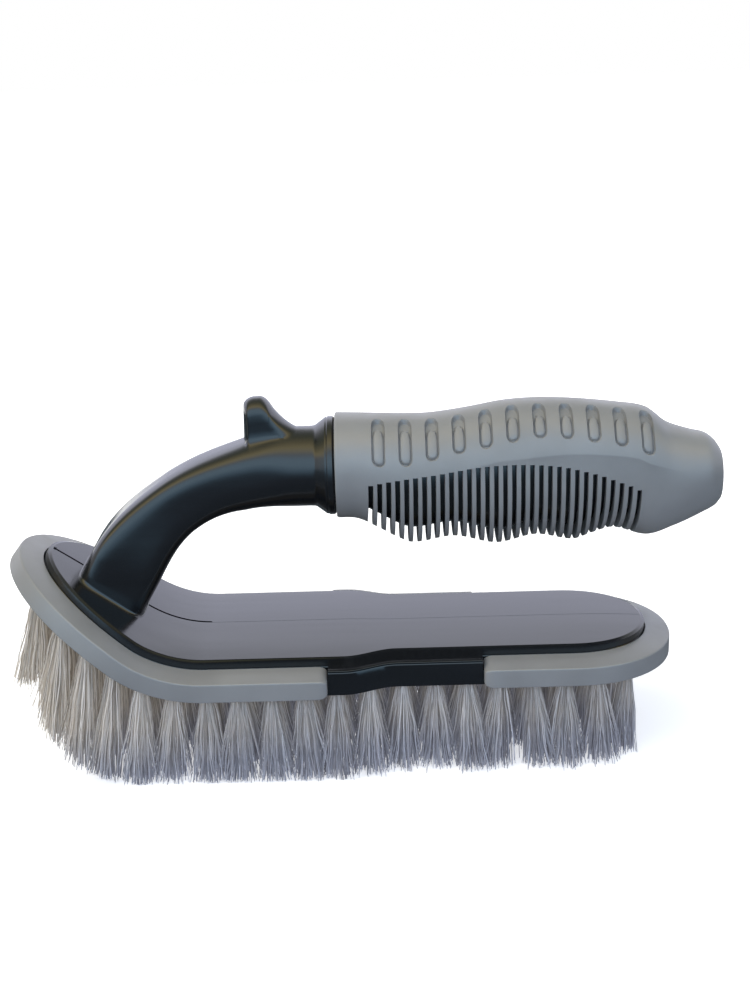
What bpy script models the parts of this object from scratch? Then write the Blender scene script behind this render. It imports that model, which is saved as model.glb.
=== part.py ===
"""A hand brush for scrubbing tyres, at its real size, in metres and +Z up.

A black moulding holds the deck, the neck, the thumb horn and the core shaft. A soft
sleeve with finger ribs covers the shaft. The deck is screwed to a tufted brush block,
and two soft bumpers wrap the toe and the heel. The toe end of the block curls up.

The brush stands on its bristle tips at z = 0. The toe points to -X, the heel to +X.
Block coordinates are s along the datum line of the block's underside, y across, and
n square to that line. place() turns them into model coordinates. Handle positions are
an x measured like s, and a height over the datum.
"""

import math

import bmesh
import bpy
from mathutils import Matrix, Vector

# Fits
GAP = 0.0003  # clearance between two pieces that touch

# Plan of the block, measured to the outside of the bumpers
TOE_TIP = -0.1420  # s of the toe end
HEEL_TIP = 0.1045  # s of the heel end
TOE_HALF_WIDTH = 0.0411
HEEL_HALF_WIDTH = 0.0354
NOSE_LENGTH = 0.0570  # round part of the toe
HEEL_LENGTH = 0.0374  # round part of the heel
NOSE_POWER = 2.0
HEEL_POWER = 2.1
WAIST_START = -0.0119  # the wide toe half narrows between these two
WAIST_END = 0.0057

# Curl of the toe
CURL_START = -0.0595
CURL_RADIUS = 0.0526
CURL_ANGLE = math.radians(37.2)

# Block and deck: insets from the outside of the bumpers, and heights
WALL_INSET = 0.0033  # side wall of the block
BLOCK_HEIGHT = 0.0084
FLANGE_EDGE = 0.0004  # thickness of the deck at its outer edge
SHOULDER_INSET = 0.0050
SHOULDER_RISE = 0.0007  # over the deck's underside
DECK_INSET = 0.0103  # edge of the raised deck
DECK_RISE = 0.0027  # height of that edge over the deck's underside
DECK_ROUND = 0.0008
DECK_CROWN = 0.0013

# Bumpers
BUMPER_CREASE = 0.0067  # height of the crease between the side and the top
BUMPER_TOP = 0.0086  # height of the inner edge of the top
BUMPER_REACH = 0.0087  # inset of that edge
BUMPER_FLANGE = 0.0030  # thickness of the part that lies on the block
BUMPER_CHAMFER = 0.0030  # length of the bevel at each end
STEP_DRAFT = 0.00015  # draft of the steps in block and deck at a bumper's ends
FRONT_BUMPER_END = -0.0177
REAR_BUMPER_END = 0.0358

# Tufts
BRISTLE_LENGTH = 0.0310  # from the datum down to the tips
ROW_PITCH = 0.0113
HEEL_ROW_INSET = 0.0175  # from the heel end to the first row
TOE_ROW_INSET = 0.0140  # the last row keeps at least this from the toe end
COLUMN_PITCH = 0.0126  # about this, as the last tuft of each row stands by the rim
TUFT_INSET = 0.0095
SLICE_DEPTH = 0.0040  # each row is set in a slice of the block's face
SLICE_INSET = 0.0066
STRANDS = 4
STRAND_SIDES = 3
STRAND_ROOT_RADIUS = 0.00060
STRAND_TIP_RADIUS = 0.00045
TUFT_ROOT_RADIUS = 0.0012
TUFT_TIP_RADIUS = 0.0034
TUFT_TWIST = 0.35  # radians by which tufts are turned unlike each other
ROOT_SINK = 0.0015  # how far a strand reaches into its slice
SIDE_SPLAY = 0.0108  # how far tufts at the very rim would lean outwards at their tips
TOE_LEAN = 0.10  # forward lean of the bristles on the curled toe
TRIM_RADIUS = 0.0400  # the tips of the toe are trimmed to this round
TRIM_START = -0.0830

# Screws that hold the block to the deck
SCREW_SPOTS = (0.05, 0.37, 0.58, 0.89)  # share of the way from the heel row to the toe row
SCREW_HEAD_RADIUS = 0.0028
SCREW_HEAD_HEIGHT = 0.0020
SCREW_SHANK_RADIUS = 0.0015
SCREW_REACH = 0.0030  # how far the shank goes into the deck

# Collar, at the front of the sleeve
HANDLE_HEIGHT = 0.0706  # handle axis over the datum
COLLAR_FACE = -0.0135
COLLAR_LENGTH = 0.0062
COLLAR_RADIUS = 0.0172
COLLAR_ROUND = 0.0006
THROAT_RADIUS = 0.0138  # in front of the collar

# Neck, from the collar back to the deck
NECK_TOP = COLLAR_FACE - 0.0175  # x where the bend meets the straight handle
NECK_RADIUS = 0.0660
NECK_LEAN = math.radians(61.0)
NECK_HALF_HEIGHT = 0.0104  # where it is thinnest
NECK_HALF_WIDTH = 0.0122
NECK_SQUARENESS = 2.5
NECK_DIP = 0.0012  # how much its top sinks in front of the horn
COLUMN_HALF_HEIGHT = 0.0130  # where the neck leaves its foot
COLUMN_HALF_WIDTH = 0.0145
FOOT_FLARE = 0.0038  # how far the foot spreads along the deck
FOOT_SIDE_FLARE = 0.0050
FOOT_HEIGHT = 0.0055

# Thumb horn
HORN_FACE = COLLAR_FACE - 0.0310  # x of its upright face
HORN_LENGTH = 0.0180
HORN_HEIGHT = 0.0253  # over the handle axis
HORN_CREST = 0.0044  # from the upright face to the highest line
HORN_ROUND = 0.0030  # drop from the highest line to the upright face

# Grip sleeve and the core in it
GRIP_LENGTH = 0.1334
GRIP_HALF_WIDTH = 0.0184
GRIP_SQUARENESS = 2.15
GRIP_WALL = 0.0036
RIB_DEPTH = 0.0052  # thickness of the sleeve underneath
TAIL_WALL = 0.0174  # from the end of the core to the end of the sleeve
SLOT_PITCH = 0.00304
SLOT_WIDTH = 0.00150
SLOT_START = 0.0120  # from the front face of the sleeve to the first slot
SLOT_STOP = 0.0300  # from the last slot to the end of the sleeve, at least
SLOT_LEAN = math.radians(10.0)  # lean of the last slot
SLOT_LEAN_START = 0.70  # share of the slots that stand upright
PAD_PITCH = 0.00913
PAD_START = 0.0149  # from the front face of the sleeve to the first pad
PAD_STOP = 0.0270  # from the last pad to the end of the sleeve, at least
PAD_WIDTH = 0.0046
PAD_DEPTH = 0.0008
PAD_TOP = math.radians(77.0)  # upper end, round the sleeve from its side

# Lines of the grip: share of its length, and height over the handle axis
GRIP_TOP_LINE = (
    (0.000, 0.0183), (0.170, 0.0172), (0.247, 0.0174), (0.337, 0.0190), (0.451, 0.0213),
    (0.579, 0.0214), (0.736, 0.0193), (0.810, 0.0169), (0.862, 0.0122), (0.924, 0.0094),
    (0.963, 0.0078), (0.988, 0.0053), (1.000, 0.0030),
)
GRIP_BOTTOM_LINE = (
    (0.000, -0.0181), (0.054, -0.0187), (0.114, -0.0237), (0.196, -0.0283), (0.305, -0.0263),
    (0.416, -0.0290), (0.519, -0.0267), (0.616, -0.0288), (0.721, -0.0253), (0.811, -0.0278),
    (0.879, -0.0247), (0.956, -0.0197), (0.988, -0.0177), (1.000, -0.0158),
)
SLOT_TOP_LINE = (
    (0.000, -0.0027), (0.228, 0.0003), (0.364, 0.0029), (0.477, 0.0035),
    (0.567, 0.0025), (0.658, -0.0005), (0.773, -0.0072), (1.000, -0.0240),
)
# The same, with what is added to the half width
GRIP_SIDE_LINE = (
    (0.000, 0.0), (0.450, 0.0002), (0.780, -0.0004), (0.885, -0.0022), (0.960, -0.0050),
    (1.000, -0.0092),
)
# The same, with the lower end of the pads in degrees round the sleeve from its side
PAD_BOTTOM_LINE = (
    (0.110, 19.0), (0.247, 27.0), (0.388, 33.0), (0.560, 36.0), (0.660, 33.0), (0.801, 25.0),
)

# Smoothness
NOSE_STEPS = 8
CURL_STEPS = 5
WAIST_STEPS = 4
HEEL_STEPS = 7
NECK_STEPS = 9
CORE_STEPS = 22
GRIP_STEPS = 26
TAIL_SHARES = (0.958, 0.978, 0.992, 1.0)
HORN_SHARES = (0.0, 0.03, 0.1, 0.21, 0.33, 0.45, 0.58, 0.7, 0.84, 1.0)
FOOT_RISES = ((-0.3, 1.0), (0.08, 0.9), (0.25, 0.52), (0.55, 0.2), (1.0, 0.0))
PAD_ENDS = ((0.0, 0.3), (0.06, 0.75), (0.18, 1.0), (0.82, 1.0), (0.94, 0.75), (1.0, 0.3))
NECK_POINTS = 20
GRIP_POINTS = 24
CORE_POINTS = 16
SCREW_POINTS = 10

GRIP_START = COLLAR_FACE + GAP
CORE_LENGTH = GRIP_LENGTH - TAIL_WALL
DECK_UNDERSIDE = BLOCK_HEIGHT + GAP
DECK_EDGE = DECK_UNDERSIDE + DECK_RISE
POCKET_INSET = SLICE_INSET - GAP
POCKET_DEPTH = SLICE_DEPTH + GAP
SEAT_INSET = WALL_INSET - GAP  # inner side of the bumpers
SEAT_HEIGHT = BUMPER_TOP - BUMPER_FLANGE
ROW_COUNT = 1 + int((HEEL_TIP - TOE_TIP - HEEL_ROW_INSET - TOE_ROW_INSET) / ROW_PITCH)
SLOT_COUNT = 1 + int((GRIP_LENGTH - SLOT_START - SLOT_STOP) / SLOT_PITCH)
PAD_COUNT = 1 + int((GRIP_LENGTH - PAD_START - PAD_STOP) / PAD_PITCH)
NEAR = 1e-6


def clamp(value, low=0.0, high=1.0):
    return min(max(value, low), high)


def ease(value):
    """Goes smoothly from 0 to 1 while value does."""
    value = clamp(value)
    return value * value * (3 - 2 * value)


def mix(a, b, share):
    return a + (b - a) * share


def along(line, x):
    """Height at x of a smooth curve through the points of line."""
    if x <= line[0][0]:
        return line[0][1]
    if x >= line[-1][0]:
        return line[-1][1]
    i = max(k for k in range(len(line) - 1) if line[k][0] <= x)
    slopes = []
    for k in (i, i + 1):
        before, after = line[max(k - 1, 0)], line[min(k + 1, len(line) - 1)]
        slopes.append((after[1] - before[1]) / (after[0] - before[0]))
    (x0, y0), (x1, y1) = line[i], line[i + 1]
    run = x1 - x0
    t = (x - x0) / run
    return (
        y0 * (1 - t) ** 2 * (1 + 2 * t)
        + y1 * t * t * (3 - 2 * t)
        + run * t * (1 - t) * (slopes[0] * (1 - t) - slopes[1] * t)
    )


def curl_turn(s):
    """How far the datum line has turned up at s."""
    return clamp((CURL_START - s) / CURL_RADIUS, 0.0, CURL_ANGLE)


def unshifted(s, y, n):
    """Point with the datum line of the flat part on z = 0."""
    turn = curl_turn(s)
    straight = max(CURL_START - s - CURL_RADIUS * CURL_ANGLE, 0.0)
    x = max(s, CURL_START) - (CURL_RADIUS - n) * math.sin(turn) - straight * math.cos(turn)
    z = CURL_RADIUS - (CURL_RADIUS - n) * math.cos(turn) + straight * math.sin(turn)
    return Vector((x, y, z))


# The origin lies half way between the toe of the bumper and the end of the grip
SHIFT = Vector((
    -(unshifted(TOE_TIP, 0.0, 0.0).x + GRIP_START + GRIP_LENGTH) / 2,
    0.0,
    BRISTLE_LENGTH,
))


def place(s, y, n):
    """Model coordinates of a point given in block coordinates."""
    return unshifted(s, y, n) + SHIFT


def half_width(s, inset):
    """Half width of the block's plan at s, moved inwards by inset."""
    share = ease((s - WAIST_START) / (WAIST_END - WAIST_START))
    width = mix(TOE_HALF_WIDTH, HEEL_HALF_WIDTH, share) - inset
    toe = clamp(1 - (s - TOE_TIP - inset) / (NOSE_LENGTH - inset))
    heel = clamp(1 - (HEEL_TIP - inset - s) / (HEEL_LENGTH - inset))
    width *= (1 - toe**NOSE_POWER) ** (1 / NOSE_POWER)
    return width * (1 - heel**HEEL_POWER) ** (1 / HEEL_POWER)


def rim_point(station, inset):
    """(s, half width) on the plan. Station runs 0 to 1 round the nose, 2 to 3 round the heel."""
    if station <= 1:
        s = TOE_TIP + inset + (NOSE_LENGTH - inset) * (1 - math.cos(station * math.pi / 2))
    elif station < 2:
        s = mix(TOE_TIP + NOSE_LENGTH, HEEL_TIP - HEEL_LENGTH, station - 1)
    else:
        s = HEEL_TIP - HEEL_LENGTH + (HEEL_LENGTH - inset) * math.sin((station - 2) * math.pi / 2)
    return s, half_width(s, inset)


def body_station(s):
    """Station of a point between the nose and the heel."""
    start, end = TOE_TIP + NOSE_LENGTH, HEEL_TIP - HEEL_LENGTH
    return 1 + (s - start) / (end - start)


def rim_stations():
    """Stations that every ring round the block shares, so that neighbours stay parallel."""
    body = [CURL_START - CURL_RADIUS * CURL_ANGLE * k / CURL_STEPS for k in range(CURL_STEPS + 1)]
    body += [mix(WAIST_START, WAIST_END, k / WAIST_STEPS) for k in range(WAIST_STEPS + 1)]
    for room in (GAP, GAP + STEP_DRAFT):
        body += [FRONT_BUMPER_END + room, REAR_BUMPER_END - room]
    found = [k / NOSE_STEPS for k in range(NOSE_STEPS + 1)]
    found += [body_station(s) for s in body if 1 < body_station(s) < 2]
    found += [2 + k / HEEL_STEPS for k in range(HEEL_STEPS + 1)]
    return sorted(found)


def under_bumper(station):
    """Whether the block makes room for a bumper at a station."""
    front = body_station(FRONT_BUMPER_END + GAP)
    rear = body_station(REAR_BUMPER_END - GAP)
    return station < front + NEAR or station > rear - NEAR


def skin(bm, rings, capped=True):
    """Joins closed rings of vertices with faces, and closes both ends."""
    for low, high in zip(rings, rings[1:]):
        for i in range(len(low)):
            j = (i + 1) % len(low)
            bm.faces.new((low[i], low[j], high[j], high[i]))
    if capped:
        bm.faces.new(rings[0])
        bm.faces.new(rings[-1])


def loft(bm, rings):
    """Closed skin through rings of points."""
    skin(bm, [[bm.verts.new(point) for point in ring] for ring in rings])


def finished(name, bm, coat, collection):
    """Turns a closed bmesh into an object with its faces pointing out. A cutter has no coat."""
    bmesh.ops.recalc_face_normals(bm, faces=bm.faces)
    if bm.calc_volume(signed=True) < 0:
        bmesh.ops.reverse_faces(bm, faces=bm.faces)
    mesh = bpy.data.meshes.new(name)
    bm.to_mesh(mesh)
    bm.free()
    obj = bpy.data.objects.new(name, mesh)
    collection.objects.link(obj)
    if coat:
        mesh.materials.append(coat)
        mesh.shade_smooth()
        mesh.set_sharp_from_angle(angle=math.radians(35))
    else:
        obj.hide_render = True
        obj.display_type = "WIRE"
    return obj


def material(name, colour, roughness, metallic=0.0):
    made = bpy.data.materials.new(name)
    made.use_nodes = True
    shader = made.node_tree.nodes["Principled BSDF"]
    shader.inputs["Base Color"].default_value = (*colour, 1.0)
    shader.inputs["Roughness"].default_value = roughness
    shader.inputs["Metallic"].default_value = metallic
    made.diffuse_color = (*colour, 1.0)
    return made


def combine(obj, other, operation):
    """Adds an EXACT Boolean with other."""
    modifier = obj.modifiers.new(other.name, "BOOLEAN")
    modifier.operation = operation
    modifier.object = other
    modifier.solver = "EXACT"


def plate(profile_at, crown):
    """Solid with the block's plan. profile_at gives its edge, (inset, n) pairs going up."""
    bm = bmesh.new()
    stations = rim_stations()
    profiles = [profile_at(under_bumper(station)) for station in stations]
    loops = []
    for level in range(len(profiles[0])):
        points = []
        for station, profile in zip(stations, profiles):
            inset, n = profile[level]
            s, w = rim_point(station, inset)
            points.append((s, w, n))
        (toe_s, _, toe_n), (heel_s, _, heel_n) = points[0], points[-1]
        left = [bm.verts.new(place(s, w, n)) for s, w, n in points[1:-1]]
        right = [bm.verts.new(place(s, -w, n)) for s, w, n in points[1:-1]]
        toe = bm.verts.new(place(toe_s, 0.0, toe_n))
        heel = bm.verts.new(place(heel_s, 0.0, heel_n))
        loops.append([toe, *left, heel, *reversed(right)])
    skin(bm, loops, capped=False)
    close_plate(bm, loops[0], profiles[0][0], 0.0, stations)
    close_plate(bm, loops[-1], profiles[0][-1], crown, stations)
    bmesh.ops.triangulate(bm, faces=bm.faces)
    return bm


def close_plate(bm, loop, level, crown, stations):
    """Closes one face of a plate with strips across it, raised towards the middle."""
    inset, n = level
    count = len(stations) - 2
    shares = (1.0, 0.65, 0.25, -0.25, -0.65, -1.0) if crown else (1.0, -1.0)
    widest = TOE_HALF_WIDTH - inset
    rows = []
    for i in range(count):
        s, w = rim_point(stations[i + 1], inset)
        row = [loop[1 + i]]
        for share in shares[1:-1]:
            rise = crown * (1 - share * share) * (w / widest) ** 2
            row.append(bm.verts.new(place(s, w * share, n + rise)))
        row.append(loop[-1 - i])
        rows.append(row)
    for first, second in zip(rows, rows[1:]):
        for i in range(len(shares) - 1):
            bm.faces.new((first[i], second[i], second[i + 1], first[i + 1]))
    for tip, row in ((loop[0], rows[0]), (loop[count + 1], rows[-1])):
        for i in range(len(shares) - 1):
            bm.faces.new((tip, row[i], row[i + 1]))


def round_point(angle, wide, upper, lower, squareness):
    """(y, height) on a rounded section with unlike upper and lower halves."""
    power = 2 / squareness
    across = math.copysign(abs(math.cos(angle)) ** power, math.cos(angle))
    up = math.copysign(abs(math.sin(angle)) ** power, math.sin(angle))
    return wide * across, (upper if up > 0 else lower) * up


def section(x, z, tilt, wide, upper, lower, squareness, count):
    """Ring of points round (x, z), square to a path that climbs at tilt."""
    lean = Vector((-math.sin(tilt), 0.0, math.cos(tilt)))
    ring = []
    for k in range(count):
        across, up = round_point(2 * math.pi * k / count, wide, upper, lower, squareness)
        ring.append(Vector((x, across, z)) + lean * up + SHIFT)
    return ring


def neck_path(heading):
    """(x, z) of the neck's axis where it climbs at heading."""
    x = NECK_TOP - NECK_RADIUS * math.sin(heading)
    return x, HANDLE_HEIGHT - NECK_RADIUS * (1 - math.cos(heading))


def foot_rings():
    """Rings that spread the neck's foot over the straight part of the curled deck."""
    x, z = neck_path(NECK_LEAN)
    tangent = Vector((math.cos(CURL_ANGLE), 0.0, -math.sin(CURL_ANGLE)))
    normal = Vector((math.sin(CURL_ANGLE), 0.0, math.cos(CURL_ANGLE)))
    axis = Vector((math.cos(NECK_LEAN), 0.0, math.sin(NECK_LEAN)))
    straight_start = CURL_START - CURL_RADIUS * CURL_ANGLE
    start = Vector((x, 0.0, z)) - unshifted(straight_start, 0.0, 0.0)
    rings = []
    for rise, flare in FOOT_RISES:
        n = DECK_EDGE + FOOT_HEIGHT * rise
        centre = start - axis * (start.dot(normal) - n) / axis.dot(normal)
        s = straight_start + centre.dot(tangent)
        wide = COLUMN_HALF_WIDTH + FOOT_SIDE_FLARE * flare
        long = COLUMN_HALF_HEIGHT + FOOT_FLARE * flare
        ring = []
        for k in range(NECK_POINTS):
            angle = 2 * math.pi * k / NECK_POINTS
            across, up = round_point(angle, wide, long, long, NECK_SQUARENESS)
            ring.append(place(s - up, across, n))
        rings.append(ring)
    return rings


def neck_rings():
    """Rings of the bend, from above the foot to the horn. It thins first and then swells."""
    rings = []
    last = math.asin((NECK_TOP - HORN_FACE + GAP) / NECK_RADIUS)
    for k in range(1, NECK_STEPS + 1):
        share = k / NECK_STEPS
        heading = mix(NECK_LEAN, last, share)
        x, z = neck_path(heading)
        thin, swell = ease(share / 0.55), ease((share - 0.6) / 0.7)
        high = mix(mix(COLUMN_HALF_HEIGHT, NECK_HALF_HEIGHT, thin), THROAT_RADIUS, swell)
        wide = mix(mix(COLUMN_HALF_WIDTH, NECK_HALF_WIDTH, thin), THROAT_RADIUS, swell)
        upper = high - NECK_DIP * ease((share - 0.5) / 0.5)
        tilt = heading * ease((1 - share) / 0.45)
        rings.append(section(x, z, tilt, wide, upper, high, NECK_SQUARENESS, NECK_POINTS))
    return rings


def horn_top(x):
    """Height of the handle's top line over its axis, behind the horn's upright face."""
    crest = HORN_FACE + HORN_CREST
    if x >= crest:
        return mix(HORN_HEIGHT, THROAT_RADIUS, ease((x - crest) / (HORN_LENGTH - HORN_CREST)))
    share = (crest - x) / HORN_CREST
    return HORN_HEIGHT - HORN_ROUND * (1 - math.sqrt(clamp(1 - share * share)))


def horn_rings():
    """Rings of the horn and of the throat behind it, upright all the way."""
    rings = []
    for share in HORN_SHARES:
        x = HORN_FACE + HORN_LENGTH * share
        heading = math.asin(clamp((NECK_TOP - x) / NECK_RADIUS))
        z = neck_path(heading)[1]
        low = THROAT_RADIUS * mix(0.9, 1.0, ease(share))
        squareness = mix(NECK_SQUARENESS, 2.0, share)
        high = horn_top(x) + HANDLE_HEIGHT - z
        rings.append(section(x, z, 0.0, low, high, low, squareness, NECK_POINTS))
    return rings


def collar_rings():
    """Rings of the collar that the sleeve butts against."""
    start = COLLAR_FACE - COLLAR_LENGTH
    profile = (
        (start, mix(THROAT_RADIUS, COLLAR_RADIUS, 0.12)),
        (mix(start, COLLAR_FACE, 0.35), mix(THROAT_RADIUS, COLLAR_RADIUS, 0.5)),
        (mix(start, COLLAR_FACE, 0.62), COLLAR_RADIUS),
        (COLLAR_FACE - COLLAR_ROUND, COLLAR_RADIUS),
        (COLLAR_FACE, COLLAR_RADIUS - COLLAR_ROUND),
    )
    return [section(x, HANDLE_HEIGHT, 0.0, r, r, r, 2.0, NECK_POINTS) for x, r in profile]


def grip_shape(run, side_inset, bottom_inset):
    """Middle height, half height and half width of the grip, moved inwards by the insets."""
    share = run / GRIP_LENGTH
    top = along(GRIP_TOP_LINE, share) - side_inset
    bottom = along(GRIP_BOTTOM_LINE, share) + bottom_inset
    wide = GRIP_HALF_WIDTH + along(GRIP_SIDE_LINE, share) - side_inset
    return HANDLE_HEIGHT + (top + bottom) / 2, (top - bottom) / 2, wide


def grip_ring(run, x, side_inset, bottom_inset, count):
    """Ring at x with the grip's shape at a distance run from the sleeve's front face."""
    middle, half, wide = grip_shape(run, side_inset, bottom_inset)
    return section(x, middle, 0.0, wide, half, half, GRIP_SQUARENESS, count)


def shaft_rings(start, end, side_inset, bottom_inset):
    """Rings of the core, or of the bore round it."""
    rings = [grip_ring(0.0, start, side_inset, bottom_inset, CORE_POINTS)]
    for k in range(1, CORE_STEPS + 1):
        run = CORE_LENGTH * k / CORE_STEPS
        x = GRIP_START + run if k < CORE_STEPS else end
        rings.append(grip_ring(run, x, side_inset, bottom_inset, CORE_POINTS))
    return rings


def deck_profile(covered):
    """Edge of the deck, which stops short of a bumper's flange where one covers the block."""
    least = BUMPER_REACH + GAP if covered else 0.0
    outline = (
        (WALL_INSET, DECK_UNDERSIDE),
        (WALL_INSET, DECK_UNDERSIDE + FLANGE_EDGE),
        (SHOULDER_INSET, DECK_UNDERSIDE + SHOULDER_RISE),
        (DECK_INSET - DECK_ROUND, DECK_EDGE - DECK_ROUND / 2),
        (DECK_INSET, DECK_EDGE),
    )
    return [(max(inset, least), n) for inset, n in outline]


def handle_body(black, parts, helpers):
    """Deck, neck, thumb horn, collar and core shaft in one moulding."""
    body = finished("handle_body", plate(deck_profile, DECK_CROWN), black, parts)
    bm = bmesh.new()
    loft(bm, foot_rings() + neck_rings() + horn_rings() + collar_rings())
    combine(body, finished("neck_blank", bm, None, helpers), "UNION")
    bm = bmesh.new()
    end = GRIP_START + CORE_LENGTH
    loft(bm, shaft_rings(COLLAR_FACE - COLLAR_LENGTH / 4, end, GRIP_WALL + GAP, RIB_DEPTH + GAP))
    combine(body, finished("core_blank", bm, None, helpers), "UNION")
    return body


def grip_sleeve(grey, parts, helpers):
    """Soft sleeve, closed at the tail, with slots that leave finger ribs underneath."""
    shares = [TAIL_SHARES[0] * k / GRIP_STEPS for k in range(GRIP_STEPS)] + list(TAIL_SHARES)
    runs = [GRIP_LENGTH * share for share in shares]
    bm = bmesh.new()
    loft(bm, [grip_ring(run, GRIP_START + run, 0.0, 0.0, GRIP_POINTS) for run in runs])
    sleeve = finished("grip_sleeve", bm, grey, parts)
    bm = bmesh.new()
    end = GRIP_START + CORE_LENGTH + GAP
    loft(bm, shaft_rings(GRIP_START - GRIP_WALL, end, GRIP_WALL, RIB_DEPTH))
    combine(sleeve, finished("grip_bore", bm, None, helpers), "DIFFERENCE")
    bm = bmesh.new()
    for k in range(SLOT_COUNT):
        slot(bm, k)
    combine(sleeve, finished("grip_slots", bm, None, helpers), "DIFFERENCE")
    bm = bmesh.new()
    for k in range(PAD_COUNT):
        for side in (1, -1):
            pad(bm, PAD_START + PAD_PITCH * k, side)
    combine(sleeve, finished("grip_pads", bm, None, helpers), "DIFFERENCE")


def slot(bm, k):
    """One slab that cuts a slot through both sides and the underside of the sleeve."""
    run = SLOT_START + SLOT_PITCH * k
    top = along(SLOT_TOP_LINE, run / GRIP_LENGTH)
    height = top - min(low for _, low in GRIP_BOTTOM_LINE) + 2 * RIB_DEPTH
    lean = SLOT_LEAN * clamp((k / SLOT_COUNT - SLOT_LEAN_START) / (1 - SLOT_LEAN_START))
    made = bmesh.ops.create_cube(bm, size=1.0)["verts"]
    bmesh.ops.scale(bm, vec=(SLOT_WIDTH, 4 * GRIP_HALF_WIDTH, height), verts=made)
    bmesh.ops.translate(bm, vec=(0.0, 0.0, -height / 2), verts=made)
    bmesh.ops.rotate(bm, matrix=Matrix.Rotation(lean, 3, "Y"), verts=made)
    spot = Vector((GRIP_START + run, 0.0, HANDLE_HEIGHT + top)) + SHIFT
    bmesh.ops.translate(bm, vec=spot, verts=made)


def pad(bm, run, side):
    """Curved bar that sinks one oval pad into the side of the sleeve."""
    low = math.radians(along(PAD_BOTTOM_LINE, run / GRIP_LENGTH))
    rings = []
    for share, width in PAD_ENDS:
        angle = mix(low, PAD_TOP, share)
        ring = []
        for reach, sink in ((-1, PAD_DEPTH), (1, PAD_DEPTH), (1, -PAD_DEPTH), (-1, -PAD_DEPTH)):
            middle, half, wide = grip_shape(run, sink, sink)
            across, up = round_point(angle, wide, half, half, GRIP_SQUARENESS)
            x = GRIP_START + run + reach * width * PAD_WIDTH / 2
            ring.append(Vector((x, side * across, middle + up)) + SHIFT)
        rings.append(ring)
    loft(bm, rings)


def legs_to_tip(end, toward):
    """Stations of one leg of a bumper, from its end to the tip. toward is -1 for the toe."""
    first = body_station(end)
    found = [u for u in rim_stations() if (u - first) * toward > NEAR]
    return found if toward > 0 else list(reversed(found))


def wrap(bm, legs):
    """Sweeps a bumper's section along one side of the block, round its tip and back."""
    tips = (0.0, 3.0)
    rings = []
    for side in (1, -1):
        found = []
        for station, trimmed in legs:
            if side < 0 and station in tips:
                continue
            ring = []
            for inset, n in bumper_section(trimmed):
                s, w = rim_point(station, inset)
                ring.append(place(s, side * w, n))
            found.append(ring)
        rings += found if side > 0 else list(reversed(found))
    loft(bm, rings)


def bumper_section(trimmed):
    """Corners of a bumper's section. trimmed, from 0 to 1, bevels it at its end."""
    cut = BUMPER_CHAMFER * trimmed / 2
    return (
        (cut, 0.0), (cut, BUMPER_CREASE - cut), (BUMPER_REACH - cut, BUMPER_TOP - cut / 2),
        (BUMPER_REACH - cut, SEAT_HEIGHT), (SEAT_INSET, SEAT_HEIGHT), (SEAT_INSET, 0.0),
    )


def bumper(name, end, toward, grey, parts):
    """Soft strip that wraps one end of the block, from one side round to the other."""
    full = body_station(end + toward * BUMPER_CHAMFER)
    inner = [u for u in legs_to_tip(end, toward) if (u - full) * toward > NEAR]
    legs = [(body_station(end), 1.0), (full, 0.0)] + [(u, 0.0) for u in inner]
    bm = bmesh.new()
    wrap(bm, legs)
    finished(name, bm, grey, parts)


def row_place(k):
    """s of row k, counted from the heel."""
    return HEEL_TIP - HEEL_ROW_INSET - ROW_PITCH * k


def slice_edges(k):
    """s of the heel side, the middle and the toe side of a row's slice."""
    s = row_place(k)
    half = (ROW_PITCH - GAP) / 2
    return s + half, s, s - half


def strip(bm, edges, inset, low, high):
    """Bar across the block that follows its plan and its curl."""
    rings = []
    for s in edges:
        w = half_width(s, inset)
        corners = ((w, low), (w, high), (-w, high), (-w, low))
        rings.append([place(s, y, n) for y, n in corners])
    loft(bm, rings)


def block_profile(covered):
    """Edge of the block, stepped back above the seat of a bumper's flange."""
    floor = SEAT_HEIGHT - GAP
    inset = BUMPER_REACH + GAP if covered else WALL_INSET
    step = floor if covered else mix(floor, BLOCK_HEIGHT, 0.2)
    return (WALL_INSET, 0.0), (WALL_INSET, floor), (inset, step), (inset, BLOCK_HEIGHT)


def brush_block(black, parts, helpers):
    """Base plate, hollowed underneath for the tufted slices."""
    block = finished("brush_block", plate(block_profile, 0.0), black, parts)
    edges = [slice_edges(0)[0] + GAP]
    for k in range(ROW_COUNT):
        edges += slice_edges(k)
    edges.append(slice_edges(ROW_COUNT - 1)[2] - GAP)
    bm = bmesh.new()
    strip(bm, edges, POCKET_INSET, -POCKET_DEPTH, POCKET_DEPTH)
    combine(block, finished("tuft_pocket", bm, None, helpers), "DIFFERENCE")
    return block


def tuft_columns(k):
    """y of the tufts on one side of a row, the last by the rim. Odd rows leave the middle free."""
    room = half_width(row_place(k), TUFT_INSET)
    offset = (k % 2) / 2
    steps = max(round(room / COLUMN_PITCH - offset), 1 - k % 2)
    pitch = room / (steps + offset)
    return [(step + offset) * pitch for step in range(steps + 1)]


def tip_height(x):
    """Height of the trimmed tips over the ground."""
    reach = clamp(TRIM_START + SHIFT.x - x, 0.0, 0.96 * TRIM_RADIUS)
    return TRIM_RADIUS - math.sqrt(TRIM_RADIUS**2 - reach**2)


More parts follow.
